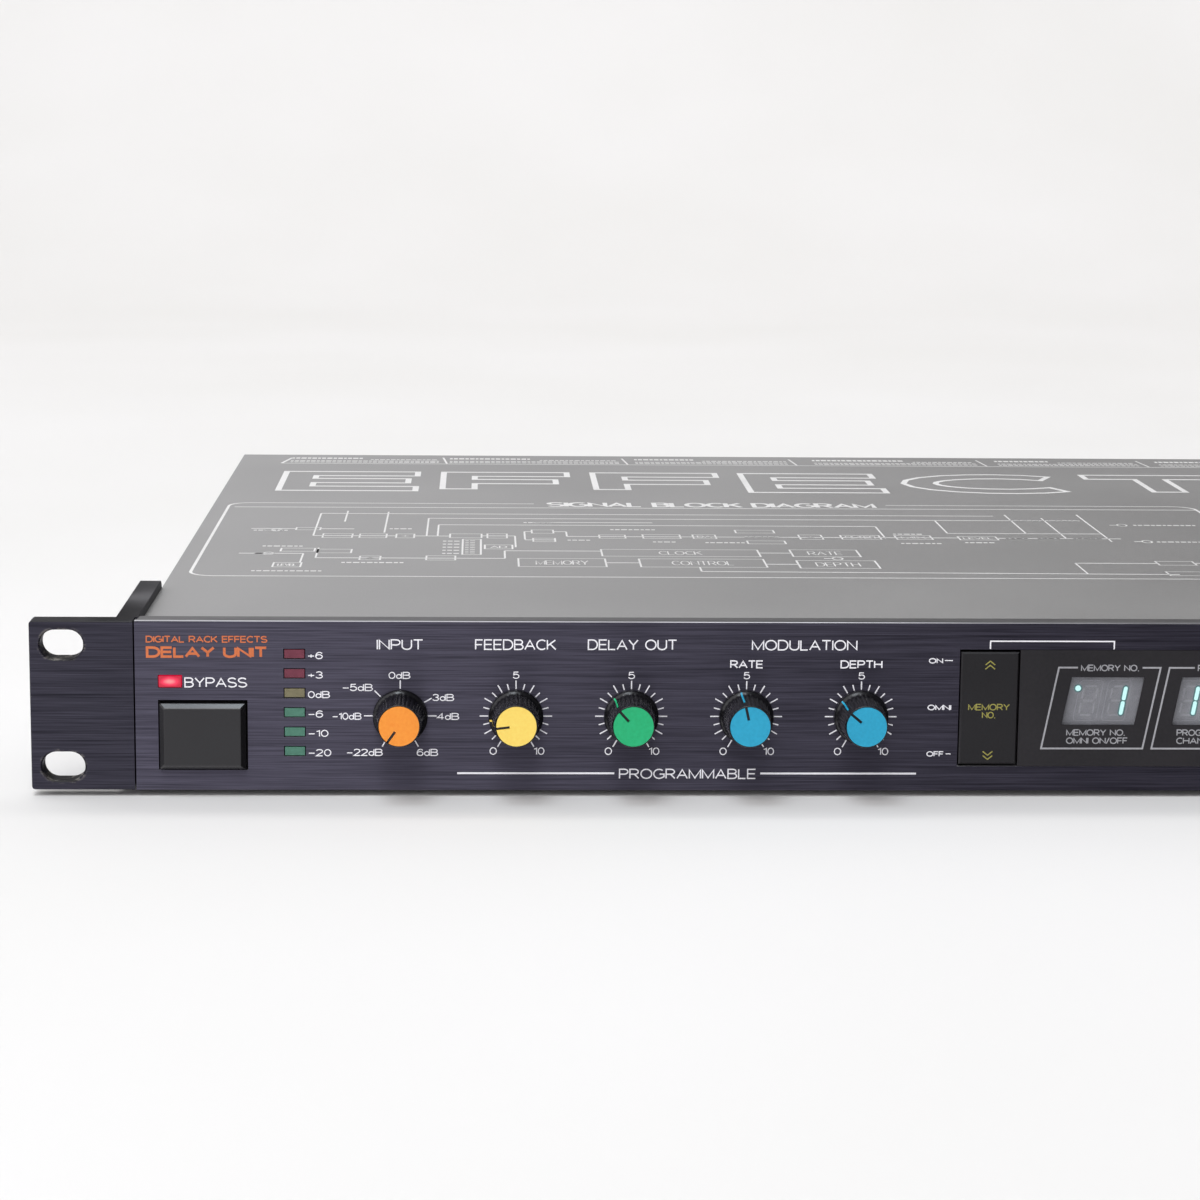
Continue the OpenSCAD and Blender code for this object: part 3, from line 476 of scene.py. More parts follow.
def merged(polygons):
    """Union of overlapping flat polygons, as points and triangles.

    Each polygon goes in as a fan of triangles, all turned one way, so a crossed quad fills nothing else.
    """
    points, faces = [], []
    for polygon in polygons:
        first = Vector(polygon[0])
        for a, b in zip(polygon[1:], polygon[2:]):
            a, b = Vector(a), Vector(b)
            area = (a - first).cross(b - first)
            if abs(area) > TINY:
                faces.append([len(points), len(points) + 1, len(points) + 2])
                points += [first, a, b] if area > 0 else [first, b, a]
    corners, _, triangles, _, _, sources = delaunay_2d_cdt(points, [], faces, 0, 1e-5, True)
    return corners, [t for t, source in zip(triangles, sources) if source]


def outlines(points, faces):
    """The closed borders of a flat mesh."""
    after = {}
    edges = {(f[i], f[(i + 1) % len(f)]) for f in faces for i in range(len(f))}
    for a, b in edges:
        if (b, a) not in edges:
            after[a] = b
    loops = []
    while after:
        start, here = next(iter(after.items()))
        ring = [start]
        del after[start]
        while here in after:
            ring.append(here)
            here = after.pop(here)
        loops.append([points[i] for i in ring + [start]])
    return loops


def lettering(text, u0, u1, v0, v1, stroke, gap=LETTER_GAP):
    """Polygons of a line of text that fills a box, stroke included."""
    strokes, x = [], 0.0
    for i, character in enumerate(text):
        width, paths = GLYPHS[character]
        strokes += [[(x + px, py) for px, py in path] for path in paths]
        x += width + gap
    wide = x - gap
    su = (u1 - u0 - stroke) / max(wide, 0.01)
    sv = v1 - v0 - stroke
    if wide == 0:
        su, u0 = 0, (u0 + u1 - stroke) / 2
    half = stroke / 2
    quads = []
    for path in strokes:
        quads += ribbon([(u0 + half + px * su, v0 + half + py * sv) for px, py in path], stroke)
    return [[(p[0], min(max(p[1], v0), v1)) for p in quad] for quad in quads]


# ---------- mesh helpers ----------

def link(obj):
    bpy.context.scene.collection.objects.link(obj)
    return obj


def piece(name, verts, faces, look, body, outward=None, smooth=False):
    """A new mesh piece in the row frame. outward turns every face to that side."""
    if outward is not None:
        turned = []
        for face in faces:
            corners = [Vector(verts[i]) for i in face]
            normal = sum((a.cross(b) for a, b in zip(corners, corners[1:] + corners[:1])), Vector())
            turned.append(face if normal.dot(outward) >= 0 else face[::-1])
        faces = turned
    mesh = bpy.data.meshes.new(name)
    mesh.from_pydata([tuple(v) for v in verts], [], faces)
    mesh.materials.append(MATERIALS[look])
    if smooth:
        mesh.shade_smooth()
    mesh.update()
    obj = link(bpy.data.objects.new(name, mesh))
    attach(obj, body)
    return obj


class Ink:
    """Flat print, gathered in millimetres on one surface and then made into one piece."""

    def __init__(self, place, outward):
        self.place, self.outward = place, outward
        self.verts, self.faces = [], []

    def add(self, polygons):
        points, faces = merged(polygons)
        start = len(self.verts)
        self.verts += [self.place(p[0], p[1]) for p in points]
        self.faces += [[i + start for i in face] for face in faces]

    def text(self, text, u0, u1, v0, v1, stroke=0.3):
        self.add(lettering(text, u0, u1, v0, v1, stroke))

    def centred(self, text, u, v, width, height, stroke=0.3):
        self.text(text, u - width / 2, u + width / 2, v - height / 2, v + height / 2, stroke)

    def outlined(self, text, u0, u1, v0, v1, stroke, line, gap):
        """Hollow lettering, drawn as a line round every letter."""
        for ring in outlines(*merged(lettering(text, u0, u1, v0, v1, stroke, gap))):
            self.add(ribbon(ring, line))

    def line(self, points, width):
        self.add(ribbon(points, width))

    def rectangle(self, u0, u1, v0, v1, width, corner=0.0):
        path = []
        for cu, cv, start in ((u1 - corner, v1 - corner, 0), (u0 + corner, v1 - corner, 90),
                              (u0 + corner, v0 + corner, 180), (u1 - corner, v0 + corner, 270)):
            path += arc(cu, cv, corner, corner, start, start + 90) if corner else [(cu, cv)]
        self.line(path + path[:1], width)

    def disc(self, u, v, radius):
        self.add([loop(u, v, radius, radius)[:-1]])

    def make(self, name, look, body, slot):
        return piece(name, self.verts, self.faces, look, body, outward=self.outward)


def front(y=FACE_Y):
    """Ink on a surface that faces the front, at y."""
    return Ink(lambda u, v: Vector((u * MM, y - INK, v * MM)), Vector((0, -1, 0)))


def top():
    return Ink(lambda u, v: Vector((u * MM, v * MM, COVER_Z + INK)), Vector((0, 0, 1)))


def rear():
    """Ink on the rear panel; u runs to the right seen from behind."""
    return Ink(lambda u, v: Vector((-u * MM, REAR_Y + INK, v * MM)), Vector((0, 1, 0)))


def centre(node):
    low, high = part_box(node)
    return (low.x + high.x) / 2 / MM, (low.z + high.z) / 2 / MM


# ---------- knobs ----------

RIBS, STEPS_PER_RIB, FLUTE = 30, 8, 0.22
SKIRT_BACK = 12.3  # distance of the skirt's back face behind the cap
# From the bore to the foot of the grip: radius, and distance in front of the skirt's back
SKIRT = [(3.06, 0.0), (6.8, 0.0), (7.02, 0.2), (7.02, 0.7),
         (6.92, 1.0), (6.6, 1.35), (6.3, 1.65), (6.0, 2.1)]
GRIP_BACK_R, GRIP_FRONT_R, GRIP_FRONT, GRIP_STEPS = 6.0, 5.45, 0.5, 5
# The rim round the cap's recess: distance outside the cap, and behind its face
RIM = [(0.3, 0.22), (0.2, 0.1), (0.03, 0.14)]
# The pointer's angle, clockwise from the top
POINTERS = {"input": -145, "feedback": -97, "delay_out": -42, "rate": -13, "depth": -50}
POINTER_HALF = 0.22


def knob_point(x, z, angle, across, along, y):
    """A point on a knob whose pointer is at angle: its distances across and along the pointer."""
    a = math.radians(angle)
    right = along * math.sin(a) + across * math.cos(a)
    up = along * math.cos(a) - across * math.sin(a)
    return Vector((x + right, y, z + up))


def build_knob(knob):
    """Flared skirt, fluted taper and the thin rim round the cap's recess, in one turned mesh."""
    low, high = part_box("cap_" + knob)
    x, z = (low.x + high.x) / 2, (low.z + high.z) / 2
    face, seat, cap_r = low.y, high.y, (high.x - low.x) / 2
    skirt = face + SKIRT_BACK * MM
    grip_back = skirt - SKIRT[-1][1] * MM
    profile = [(SKIRT[0][0] * MM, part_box("knob_" + knob)[1].y)]
    profile += [(radius * MM, skirt - front * MM) for radius, front in SKIRT]
    first = len(profile) - 1
    for i in range(1, GRIP_STEPS + 1):
        t = i / GRIP_STEPS
        radius = GRIP_BACK_R + (GRIP_FRONT_R - GRIP_BACK_R) * t
        profile.append((radius * MM, grip_back + (face + GRIP_FRONT * MM - grip_back) * t))
    last = len(profile) - 1
    profile += [(cap_r + outside * MM, face + behind * MM) for outside, behind in RIM]
    profile += [(cap_r + 0.02 * MM, seat), (0.01 * MM, seat)]
    sides = RIBS * STEPS_PER_RIB
    verts, faces = [], []
    for i, (radius, y) in enumerate(profile):
        for j in range(sides):
            wave = abs(math.cos(math.pi * j / STEPS_PER_RIB)) ** 0.7 - 0.8
            flute = FLUTE * MM * wave if first <= i <= last else 0.0
            verts.append(knob_point(x, z, 360 * j / sides, 0, radius + flute, y))
    for i in range(len(profile) - 1):
        for j in range(sides):
            k = (j + 1) % sides
            faces.append([i * sides + j, i * sides + k, (i + 1) * sides + k, (i + 1) * sides + j])
    name, body = "knob_" + knob, knob + "_knob"
    turned = piece(name + "_body", verts, faces, "knob", body, smooth=True)
    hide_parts(name)
    split = turned.modifiers.new("edges", "EDGE_SPLIT")
    split.split_angle = math.radians(50)

    # Coloured pointer along the side of the grip, down to the skirt
    stops = [(6.81, skirt - 1.25 * MM), (6.48, skirt - 1.6 * MM),
             (6.16, skirt - 2.1 * MM), (5.84, face + 3.4 * MM)]
    points = [knob_point(x, z, POINTERS[knob], side * POINTER_HALF * MM, radius * MM, y)
              for radius, y in stops for side in (-1, 1)]
    quads = [[2 * i, 2 * i + 1, 2 * i + 3, 2 * i + 2] for i in range(len(stops) - 1)]
    outward = knob_point(0, 0, POINTERS[knob], 0, 1, -0.4)
    look = "cap_" + knob
    piece(name + "_pointer", points, quads, look, body, outward=outward)


# ---------- front print ----------

# Widths of the printed strokes, by how large the words are
FINE, SMALL, LARGE = 0.26, 0.27, 0.34
# Words beside the scales and the meter: left, right, bottom and top in millimetres, as in the next two
SCALE_WORDS = [
    ("0dB", -150.0, -144.4, 7.15, 9.0), ("-5dB", -161.8, -154.0, 3.95, 5.85),
    ("-10dB", -164.4, -156.9, -3.55, -1.7), ("-22dB", -160.8, -151.5, -13.05, -11.15),
    ("3dB", -138.8, -133.2, 1.4, 3.25), ("4dB", -137.6, -131.9, -3.55, -1.7),
    ("6dB", -142.8, -137.3, -13.05, -11.15), ("+6", -170.6, -166.75, 12.25, 14.15),
    ("+3", -170.6, -166.75, 7.2, 9.1), ("0dB", -170.6, -164.95, 2.1, 3.95),
    ("-6", -170.6, -166.75, -3.0, -1.1), ("-10", -170.6, -165.4, -8.05, -6.2),
    ("-20", -170.6, -164.7, -13.15, -11.25),
]
CONTROL_WORDS = [
    ("INPUT", -153.0, -141.1, 14.7, 17.5), ("FEEDBACK", -127.9, -107.1, 14.75, 17.55),
    ("DELAY OUT", -99.05, -76.1, 14.8, 17.6), ("MODULATION", -56.9, -29.7, 14.8, 17.6),
    ("PROGRAMMABLE", -90.7, -55.2, -19.05, -16.3), ("BYPASS", -202.05, -186.05, 4.8, 7.45),
    ("RATE", -62.4, -53.85, 10.1, 12.25), ("DEPTH", -33.95, -23.1, 10.15, 12.3),
]
MODE_WORDS = [
    ("ON", -11.15, -7.45, 11.5, 12.95), ("OMNI", -11.15, -5.0, -0.8, 0.7),
    ("OFF", -11.1, -6.6, -13.05, -11.6),
]
# Lines beside the words, each with its width
PANEL_LINES = [
    ([(-7.0, 12.3), (-4.9, 12.3)], 0.25), ([(-6.1, -12.3), (-4.8, -12.3)], 0.25),
    ([(-132.4, -17.55), (-91.9, -17.55)], 0.5), ([(-54.1, -17.55), (-13.65, -17.55)], 0.5),
    ([(4.7, 15.35), (4.7, 17.4), (36.8, 17.4), (36.8, 15.35)], 0.35),
]


def scale_ring(ink, x, z, knob):
    """Tick marks round a knob, and its end and middle numbers."""
    ticks = (-150, -90, -45, 0, 60, 90, 150) if knob == "input" else range(-150, 151, 15)
    for angle in ticks:
        long_tick = knob == "input" or angle % 30 == 0
        a = math.radians(angle)
        radii = (7.1, 9.3 if long_tick else 8.65)
        ends = [(x + r * math.sin(a), z + r * math.cos(a)) for r in radii]
        ink.line(ends, 0.32)
    if knob != "input":
        ink.centred("5", x, z + 10.7, 1.72, 1.9, FINE)
        ink.centred("0", x - 5.8, z - 9.2, 1.9, 2.0, FINE)
        ink.centred("10", x + 6.0, z - 9.2, 2.8, 2.0, FINE)


def panel_print():
    """All white print on the facing."""
    ink = front()
    for knob in KNOBS:
        scale_ring(ink, *centre("cap_" + knob), knob)
    for words, stroke in ((SCALE_WORDS, FINE), (CONTROL_WORDS, LARGE), (MODE_WORDS, SMALL)):
        for word in words:
            ink.text(*word, stroke)
    for points, width in PANEL_LINES:
        ink.line(points, width)
    for key in KEYS:
        x, z = centre("key_" + key)
        ink.centred(key.upper(), x, z - 4.9, 1.35 * len(key), 1.35, 0.24)
    x = centre("power_button")[0]
    ink.centred("POWER", x, 8.6, 11.0, 2.2, LARGE)
    ink.centred("ON", x - 3.2, 5.4, 3.3, 1.4, 0.25)
    ink.centred("OFF", x + 3.2, 5.4, 4.2, 1.4, 0.25)
    ink.make("panel_print", "ink_white", "case", "panel_black")


def title_print():
    """The two orange lines in the facing's corner."""
    ink = front()
    ink.text("DIGITAL RACK EFFECTS", -211.7, -180.8, 16.45, 18.25, 0.32)
    ink.text("DELAY UNIT", -211.7, -180.8, 12.5, 15.5, 0.66)
    ink.make("title_print", "ink_orange", "case", "panel_black")


def rocker_print(node, body, words):
    """Double arrows at a rocker's ends, and its words as text, width and height."""
    low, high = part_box(node)
    x = (low.x + high.x) / 2 / MM
    ink = front(low.y)
    for sign, z in ((1, 11.2), (-1, -12.6)):
        for step in (-0.55, 0.55):
            peak = z + step + 0.5 * sign
            ink.line([(x - 1.25, peak - 1.0 * sign), (x, peak), (x + 1.25, peak - 1.0 * sign)], 0.3)
    for text, width, z in words:
        ink.centred(text, x, z, width, 1.75, SMALL)
    ink.make(node + "_print", "ink_olive", body, "button_black")


# ---------- digit displays ----------

WINDOW_LEFT = [26.1, 54.9, 83.7]  # left end of each window's top edge
FRAME_WIDTHS = [26.45, 26.45, 45.4]
FRAME_INSET, FRAME_TOP, FRAME_BOTTOM, FRAME_LEAN = 3.45, 10.53, -10.83, 3.95
HEADINGS = [("MEMORY NO.", 15.2), ("PROGRAM", 12.0), ("PARAMETER", 15.4)]
NOTES = [[("MEMORY NO.", 15.4), ("OMNI ON/OFF", 16.1)], [("PROGRAM", 11.8), ("CHANNEL", 12.0)],
         [("DELAY TIME", 15.6), ("LEVEL", 8.0)]]


def bezel_print():
    """A leaning frame, a heading and notes round each window."""
    ink = front()
    for left, width, (heading, wide), notes in zip(WINDOW_LEFT, FRAME_WIDTHS, HEADINGS, NOTES):
        x0 = left - FRAME_INSET
        x1 = x0 + width
        middle = (x0 + x1) / 2 + 0.1
        gap = wide / 2 + 0.8
        ink.line([(middle - gap, FRAME_TOP), (x0, FRAME_TOP), (x0 - FRAME_LEAN, FRAME_BOTTOM),
                  (x1 - FRAME_LEAN, FRAME_BOTTOM), (x1, FRAME_TOP), (middle + gap, FRAME_TOP)], 0.45)
        ink.centred(heading, middle, FRAME_TOP - 0.08, wide, 1.75, SMALL)
        for (text, size), z in zip(notes, (-6.6, -8.75)):
            ink.text(text, left - 0.95, left - 0.95 + size, z - 0.87, z + 0.87, SMALL)
    ink.make("bezel_print", "ink_grey", "case", "bezel_black")


DIGIT_Z, DIGIT_SLANT = 1.5, 0.17
CELL_HALF_WIDTH, CELL_HALF_HEIGHT, CELL_CORNER = 3.0, 5.3, 0.9
# Each digit's centre and its lit segments
DIGITS = [(30.9, ""), (38.3, "bc"), (57.2, "bc"), (63.6, "abged"), (70.0, "abcdefg"),
          (88.6, ""), (97.1, "abged"), (105.6, "afgcd"), (114.1, "abcdef")]
SEGMENTS = {
    "a": ((-1.4, 3.8), (1.4, 3.8)),
    "b": ((1.75, 3.25), (1.75, 0.6)),
    "c": ((1.75, -0.6), (1.75, -3.25)),
    "d": ((-1.4, -3.8), (1.4, -3.8)),
    "e": ((-1.75, -0.6), (-1.75, -3.25)),
    "f": ((-1.75, 3.25), (-1.75, 0.6)),
    "g": ((-1.3, 0.0), (1.3, 0.0)),
}


def digits():
    """Seven-segment cells behind the lens: outlines, unlit segments, and lit ones over a soft halo."""
    display_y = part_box("digit_displays")[0].y
    cells, halo, lit = front(display_y), front(display_y - 0.01 * MM), front(display_y - 0.02 * MM)

    def at(x, p):
        return (x + p[0] + DIGIT_SLANT * p[1], DIGIT_Z + p[1])

    def bar(ink, a, b, width):
        ink.add(ribbon([a, b], width) + [loop(*end, width / 2, width / 2)[:-1] for end in (a, b)])

    for x, on in DIGITS:
        corner, path = CELL_CORNER, []
        for cx, cz, start in ((1, 1, 0), (-1, 1, 90), (-1, -1, 180), (1, -1, 270)):
            u, v = cx * (CELL_HALF_WIDTH - corner), cz * (CELL_HALF_HEIGHT - corner)
            path += [at(x, p) for p in arc(u, v, corner, corner, start, start + 90)]
        cells.line(path + path[:1], 0.22)
        for letter, (p, q) in SEGMENTS.items():
            a, b = at(x, p), at(x, q)
            if letter in on:
                bar(halo, a, b, 1.7)
                bar(lit, a, b, 1.0)
            else:
                cells.line([a, b], 0.5)
    halo.disc(28.15, 4.75, 1.1)
    lit.disc(28.15, 4.75, 0.75)
    cells.make("digit_cells", "cell", "case", "display")
    halo.make("digit_halo", "halo", "case", "display")
    lit.make("digit_segments_lit", "segment", "case", "display")


# ---------- cover and rear print ----------

THIN, THICK = 0.55, 1.0  # lines of the signal diagram: those that run into the rack, and those across
DIAGRAM = (-209, 110.5, 80, 228)
DIAGRAM_CORNER = 7
DIAGRAM_TITLE = ("SIGNAL BLOCK DIAGRAM", -105, 4.5, 221.5, 232)
# The diagram's boxes: two ends, the middle's distance behind the ears, depth, and name
FLOW_BOXES = [
    (-184, -176.5, 170.5, 5, ""), (-175, -166, 156.3, 8, ""), (-163.7, -155.5, 156.3, 8, ""),
    (-152.5, -147, 156.3, 8, "+"), (-136, -126.3, 157, 8, ""), (-124.5, -118.5, 157, 9, ""),
    (-132, -126.5, 135, 30, ""), (-125.3, -117, 135, 8, "AD"), (-175, -165, 125.8, 7, ""),
    (-162, -156, 113, 7, "+"), (-142.5, -134, 113.5, 8, ""), (-186.5, -178.5, 100, 8, "LEVEL"),
    (-186, -176, 128, 6, ""), (-110.7, -104, 166.3, 7, ""), (-110.5, -103.8, 149.2, 7, ""),
    (-90, -82, 156.5, 7, ""), (-76.5, -65, 157, 8, ""), (-61, -54, 157, 8, "DA"),
    (-47, -35, 168, 6, ""), (-45, -33.5, 146, 6, ""), (-28, -21, 157, 9, "+"),
    (-15, -3, 157, 8, "FILTER"), (2, 13, 157, 8, "MIX"), (21.5, 33.3, 156, 7, "LEVEL"),
    (-115.5, -90, 105.7, 15, "MEMORY"), (-80, -43.3, 105.7, 15, "CONTROL"),
    (-90.5, -43.5, 124.5, 13, "CLOCK"), (-33.7, -13.6, 125, 13, "RATE"),
    (-33.7, -10.5, 104, 14, "DEPTH"), (73, 84, 108.5, 7, ""), (72, 83, 89.5, 7, ""),
]
# Its lines, as points of distance to the right and behind the ears
FLOW_LINES = [
    [(-198, 170.5), (-184, 170.5)], [(-178, 204), (-178, 156.3), (-152.5, 156.3)],
    [(-169.6, 210), (-169.6, 186)], [(-156.4, 208), (-156.4, 163)], [(-176.5, 170.5), (-166, 170.5)],
    [(-147, 156.3), (-136, 156.3)], [(-143.2, 156.3), (-143.2, 194), (66.5, 194)],
    [(-139.8, 156.3), (-139.8, 180), (-1.5, 180), (-1.5, 155)],
    [(-126.3, 157), (-116, 157), (-116, 134.5)], [(-113, 150), (-113, 166.3), (-110.7, 166.3)],
    [(-113, 149.2), (-104, 149.2)], [(-104, 166.3), (-100, 166.3), (-100, 156.5), (21.5, 156.5)],
    [(-198, 121), (-179, 121), (-179, 104)],
    [(-175, 113), (-119.4, 113), (-119.4, 127.5), (-90.5, 127.5)], [(-175, 132), (-175, 113)],
    [(-90, 105.7), (-80, 105.7)], [(-43.5, 125), (-33.7, 125)], [(-43.3, 104), (-33.7, 104)],
    [(-63, 98), (-63, 90.5), (75, 88)], [(33.3, 156), (72, 156)],
    [(19.4, 193), (19.4, 166), (67.5, 166)], [(44.2, 207), (44.2, 166)], [(55, 200), (55, 156)],
    [(68, 208), (68, 150)], [(73, 108), (48.5, 108), (48.5, 89)], [(-207, 218), (110, 220)],
    [(-178, 204), (40, 204)], [(-110, 186), (-72, 186)], [(84, 108.5), (104, 108.5)],
    [(83, 89.5), (104, 89.5)],
]
# Rows of small print in it: two ends, and distance behind the ears
FLOW_NOTES = [
    (-197, -186, 167), (-192, -171.5, 89), (-167, -149, 104.5), (-138, -133, 146), (-138, -133, 140),
    (-138, -133, 134), (-138, -133, 128), (-138, -133, 122), (-155, -148, 171), (-113, -104, 185.5),
    (-86, -72, 171), (-45, -34, 157), (2, 12, 164), (2, 15, 145), (22, 32, 147), (36, 44, 156),
    (46, 54, 156), (57, 66, 156), (44, 66, 194.5), (82, 102, 185), (82, 104, 150), (-192, -180, 135),
    (-100, -92, 149), (-58, -46, 145), (-74, -66, 146),
]
FLOW_SOCKETS = [(-190, 167.5), (-189.3, 121), (78.3, 185), (79, 150.5), (-21, 115)]


def streak(ink, u0, u1, v, width):
    """Small print too fine to read: short bars of uneven length."""
    u, i = u0, 0
    while u < u1 - 0.8:
        end = min(u + 1.0 + 0.9 * (i * 7 % 5) / 4, u1)
        ink.line([(u, v), (end, v)], width)
        u, i = end + 0.45, i + 1


def run(ink, points):
    """A line of the diagram, thicker where it lies across the cover."""
    for a, b in zip(points, points[1:]):
        across = abs(b[0] - a[0]) > abs(b[1] - a[1])
        ink.line([a, b], THICK if across else THIN)


def diagram(ink):
    """The signal diagram in its rounded frame, which its title interrupts."""
    u0, u1, v0, v1 = DIAGRAM
    r = DIAGRAM_CORNER
    path = arc(u1 - r, v1 - r, r, r, 90, 0) + arc(u1 - r, v0 + r, r, r, 0, -90)
    path += arc(u0 + r, v0 + r, r, r, -90, -180) + arc(u0 + r, v1 - r, r, r, 180, 90)
    ink.line([(DIAGRAM_TITLE[2] + 3.5, v1)] + path + [(DIAGRAM_TITLE[1] - 4, v1)], 0.9)
    ink.text(*DIAGRAM_TITLE, 1.6)
    for a, b, v, depth, name in FLOW_BOXES:
        ink.rectangle(a, b, v - depth / 2, v + depth / 2, THIN)
        if name:
            wide = min(b - a - 2.4, 2.6 * len(name))
            ink.centred(name, (a + b) / 2, v, wide, depth * 0.5, 0.4)
        elif depth > 20:
            for i in range(8):
                streak(ink, a + 0.8, b - 0.8, v - depth / 2 + 3 + i * (depth - 6) / 7, 0.9)
    for points in FLOW_LINES:
        run(ink, points)
    for a, b, v in FLOW_NOTES:
        streak(ink, a, b, v, 1.5)
    for u, v in FLOW_SOCKETS:
        ink.line(loop(u, v, 1.5, 2.4), THIN)
        run(ink, [(u - 4, v), (u - 1.5, v)])


# Columns of small print along the cover's rear edge: left end, width, and width of its heading
COLUMNS = [(-196, 54, 26), (-138, 62, 30), (-70, 56, 22), (-4, 60, 34), (64, 52, 20), (124, 74, 28)]


def cover_print():
    """Hollow word, columns of small print behind it, and the signal diagram in front of it."""
    ink = top()
    ink.outlined("EFFECTS", -195.5, 200, 258.5, 308, 11, 2.1, 0.2)
    ink.line([(-199, 331), (-196, 347)], 1.0)
    ink.line([(-199, 331), (206, 331)], 0.9)
    for u0, wide, title in COLUMNS:
        streak(ink, u0, u0 + title, 346, 3.2)
        for row in (338.5, 335):
            streak(ink, u0, u0 + wide, row, 1.5)
        streak(ink, u0 + title + 3, u0 + wide, 342.5, 1.5)
        ink.line([(u0 + wide + 3, 332), (u0 + wide + 1.5, 349)], 0.7)
    diagram(ink)
    ink.make("cover_print", "ink_cover", "case", "cover_grey")


SOCKET_NAMES = [
    (188, "INPUT"), (162, "DRY OUT"), (136, "DELAY OUT"), (96, "BYPASS"), (70, "HOLD"), (44, "MEMORY"),
    (-14, "IN"), (-42, "OUT"), (-70, "THRU"), (116, "LEVEL"),
]


def rear_print():
    """A name over each socket, and a bracket with its own name under each group."""
    ink = rear()
    for u, text in SOCKET_NAMES:
        ink.centred(text, u, 11.6, 1.7 * len(text), 1.8)
    ink.centred("AC IN", -168, -15.6, 8.5, 1.8)
    for text, wide, left, right in (("PEDALS", 11, 44, 96), ("CONTROL", 12.5, -70, -14)):
        ink.centred(text, (left + right) / 2, -12.5, wide, 1.8)
        ink.line([(right, -9), (right, -11), (left, -11), (left, -9)], 0.3)
    ink.make("rear_print", "ink_white", "case", "sheet_black")


for knob in KNOBS:
    build_knob(knob)
panel_print()
title_print()
rocker_print("memory_rocker", "memory_key", [("MEMORY", 10.8, 0.15), ("NO.", 3.6, -1.95)])
rocker_print("value_rocker", "value_key", [("VALUE", 8.4, -0.3)])
bezel_print()
digits()
cover_print()
rear_print()


# ---------- stage, light and camera ----------

def make_stage():
    """Paper that runs back from the unit and curves up into a wall."""
    near, reach, bend, height, half, steps = -3.0, 1.5, 1.0, 4.0, 5.0, 16
    profile = [(near, FLOOR_Z), (reach, FLOOR_Z)]
    for i in range(1, steps + 1):
        a = math.radians(90 * i / steps)
        profile.append((reach + bend * math.sin(a), FLOOR_Z + bend * (1 - math.cos(a))))
    profile.append((reach + bend, height))
    verts = [(x, y, z) for y, z in profile for x in (-half, half)]
    faces = [[2 * i, 2 * i + 1, 2 * i + 3, 2 * i + 2] for i in range(len(profile) - 1)]
    mesh = bpy.data.meshes.new("backdrop")
    mesh.from_pydata(verts, [], faces)
    mesh.shade_smooth()
    s = Shader("paper", Roughness=0.9, Specular_IOR_Level=0.2)
    s.drive(Base_Color=s.shade(s.noise((3, 3, 3), detail=2), srgb(225, 224, 221), srgb(229, 228, 226)))
    mesh.materials.append(s.material)
    obj = link(bpy.data.objects.new("backdrop", mesh))
    obj.visible_glossy = False  # shiny faces show the softly lit room instead


def make_surround():
    """Pale wall far round the paper. Only the camera sees it, so it lights nothing."""
    radius, low, high, sides = 9.0, -3.0, 6.0, 72
    angles = [math.tau * i / sides for i in range(sides)]
    ring = [(radius * math.cos(a), radius * math.sin(a)) for a in angles]
    verts = [(x, y, z) for z in (low, high) for x, y in ring]
    faces = [[i, (i + 1) % sides, sides + (i + 1) % sides, sides + i] for i in range(sides)]
    mesh = bpy.data.meshes.new("surround")
    mesh.from_pydata(verts, [], faces + [list(range(sides, 2 * sides))])
    s = Shader("surround", Base_Color=(0.0, 0.0, 0.0, 1.0), Roughness=1.0, Specular_IOR_Level=0.0,
               Emission_Strength=1.0)
    # The wall's glow is painted light: dimmer towards the bottom, where it meets the far paper's painted
    # shade
    height = s.spread(s.axes()[2], -0.5, 3.0, 0.0, 1.0)
    s.drive(Emission_Color=s.shade(height, srgb(208, 207, 205), srgb(238, 237, 236), 0.0, 1.0))
    mesh.materials.append(s.material)
    obj = link(bpy.data.objects.new("surround", mesh))
    obj.visible_diffuse = obj.visible_glossy = obj.visible_transmission = False
    obj.visible_volume_scatter = obj.visible_shadow = False


def area_light(name, place, target, size, watts, colour):
    light = bpy.data.lights.new(name, "AREA")
    light.color = colour
    light.shape = "RECTANGLE"
    light.size, light.size_y = size
    light.energy = watts
    obj = link(bpy.data.objects.new(name, light))
    obj.location = place
    obj.rotation_mode = "QUATERNION"
    obj.rotation_quaternion = (Vector(target) - Vector(place)).to_track_quat("-Z", "Y")


# The room is bright on the left and dim on the right: two places across it, and its strength at each
ROOM_FADE = (-0.05, 0.19, 1.28, 0.12)
WHITE, SKY = (1.0, 1.0, 1.0), (0.84, 0.92, 1.0)
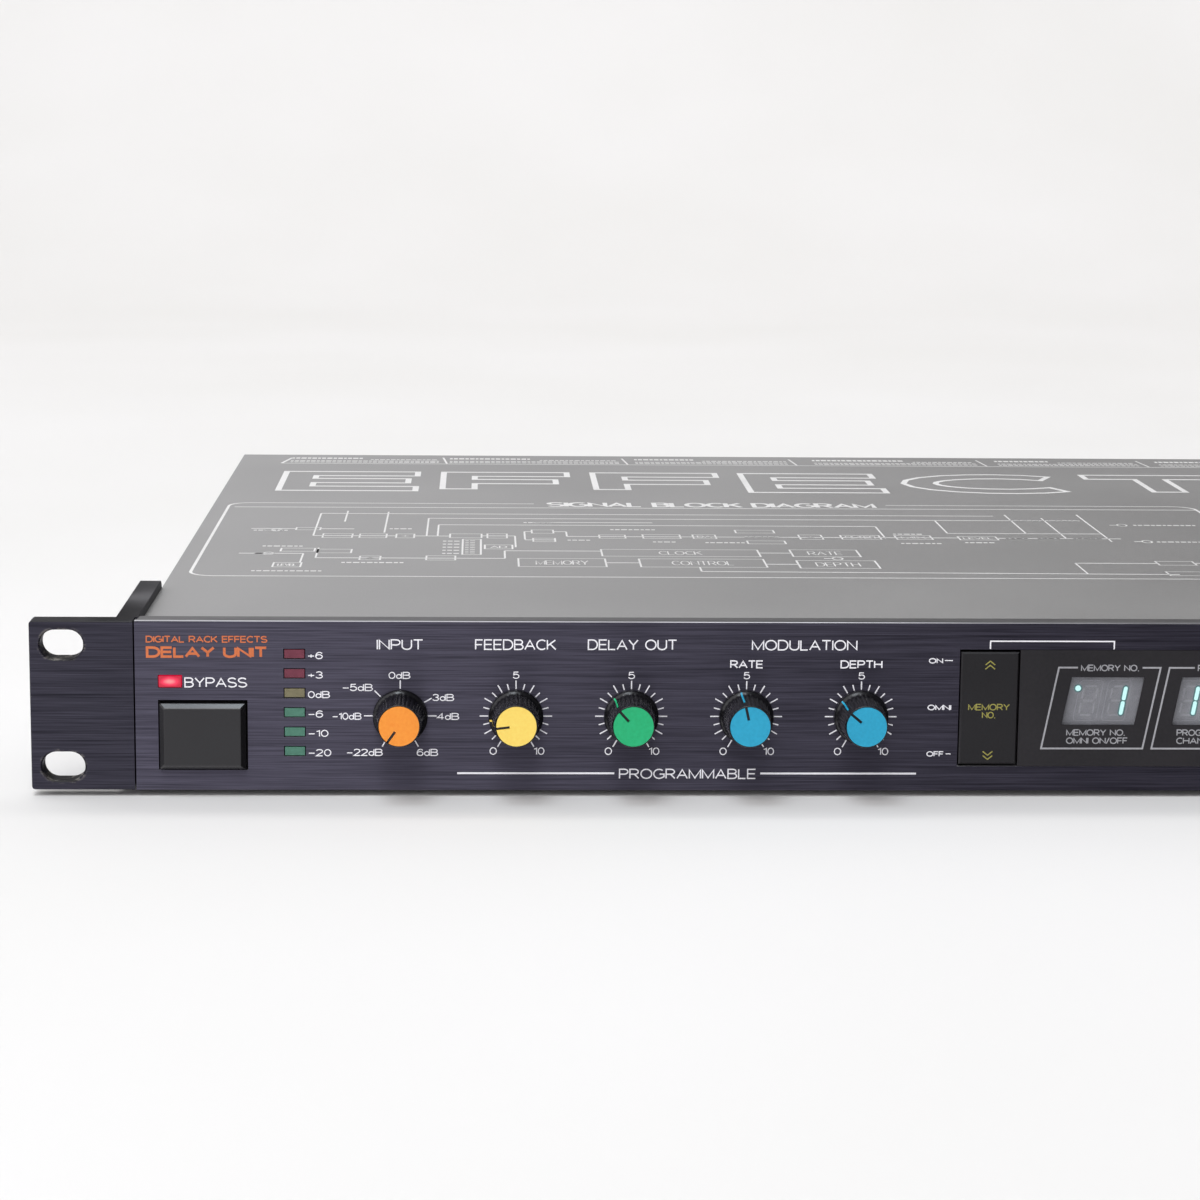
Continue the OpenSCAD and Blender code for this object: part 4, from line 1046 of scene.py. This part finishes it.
# Each lamp's name, place, target, size, watts and colour
LAMPS = [
    ("key", (-0.35, -0.85, 1.3), (-0.15, 0.05, 0), (0.8, 0.5), 5.6, WHITE),
    ("ceiling", (-0.32, -0.28, 1.5), (-0.15, 0.05, 0), (0.46, 0.36), 4.2, SKY),
    ("left", (-1.5, -0.8, 0.6), (0, 0, 0), (0.9, 0.9), 5, WHITE),
    ("backdrop", (0, 1.0, 2.2), (0, 2.3, 0.3), (4.0, 0.8), 27, WHITE),
]


def make_lights():
    """A room that fades from left to right, and four soft lamps."""
    world = bpy.data.worlds.new("studio")
    world.use_nodes = True
    nodes, links = world.node_tree.nodes, world.node_tree.links
    split = nodes.new("ShaderNodeSeparateXYZ")
    links.new(nodes.new("ShaderNodeTexCoord").outputs["Generated"], split.inputs["Vector"])
    fade = nodes.new("ShaderNodeMapRange")
    links.new(split.outputs["X"], fade.inputs["Value"])
    for socket, value in zip(fade.inputs[1:5], ROOM_FADE):
        socket.default_value = value
    links.new(fade.outputs["Result"], nodes["Background"].inputs["Strength"])
    nodes["Background"].inputs["Color"].default_value = srgb(250, 249, 253)
    bpy.context.scene.world = world
    for lamp in LAMPS:
        area_light(*lamp)


# The camera's own axes, its place, and its lens and sensor in millimetres
CAMERA_RIGHT = (0.999235, -0.037845, 0.009834)
CAMERA_UP = (-0.003225, 0.170893, 0.98528)
CAMERA_BACK = (-0.038969, -0.984559, 0.17064)
CAMERA_PLACE = (-0.12639, FACE_Y - 0.76724, 0.1608)
LENS, SENSOR = 91.5, 36.0


def make_camera():
    camera = bpy.data.cameras.new("camera")
    camera.lens = LENS
    camera.sensor_width = SENSOR
    obj = link(bpy.data.objects.new("camera", camera))
    place = Matrix((CAMERA_RIGHT, CAMERA_UP, CAMERA_BACK)).transposed().to_4x4()
    place.translation = Vector(CAMERA_PLACE)
    obj.matrix_world = place
    bpy.context.scene.camera = obj


make_stage()
make_surround()
make_lights()
make_camera()
bpy.context.scene.view_settings.view_transform = "Standard"
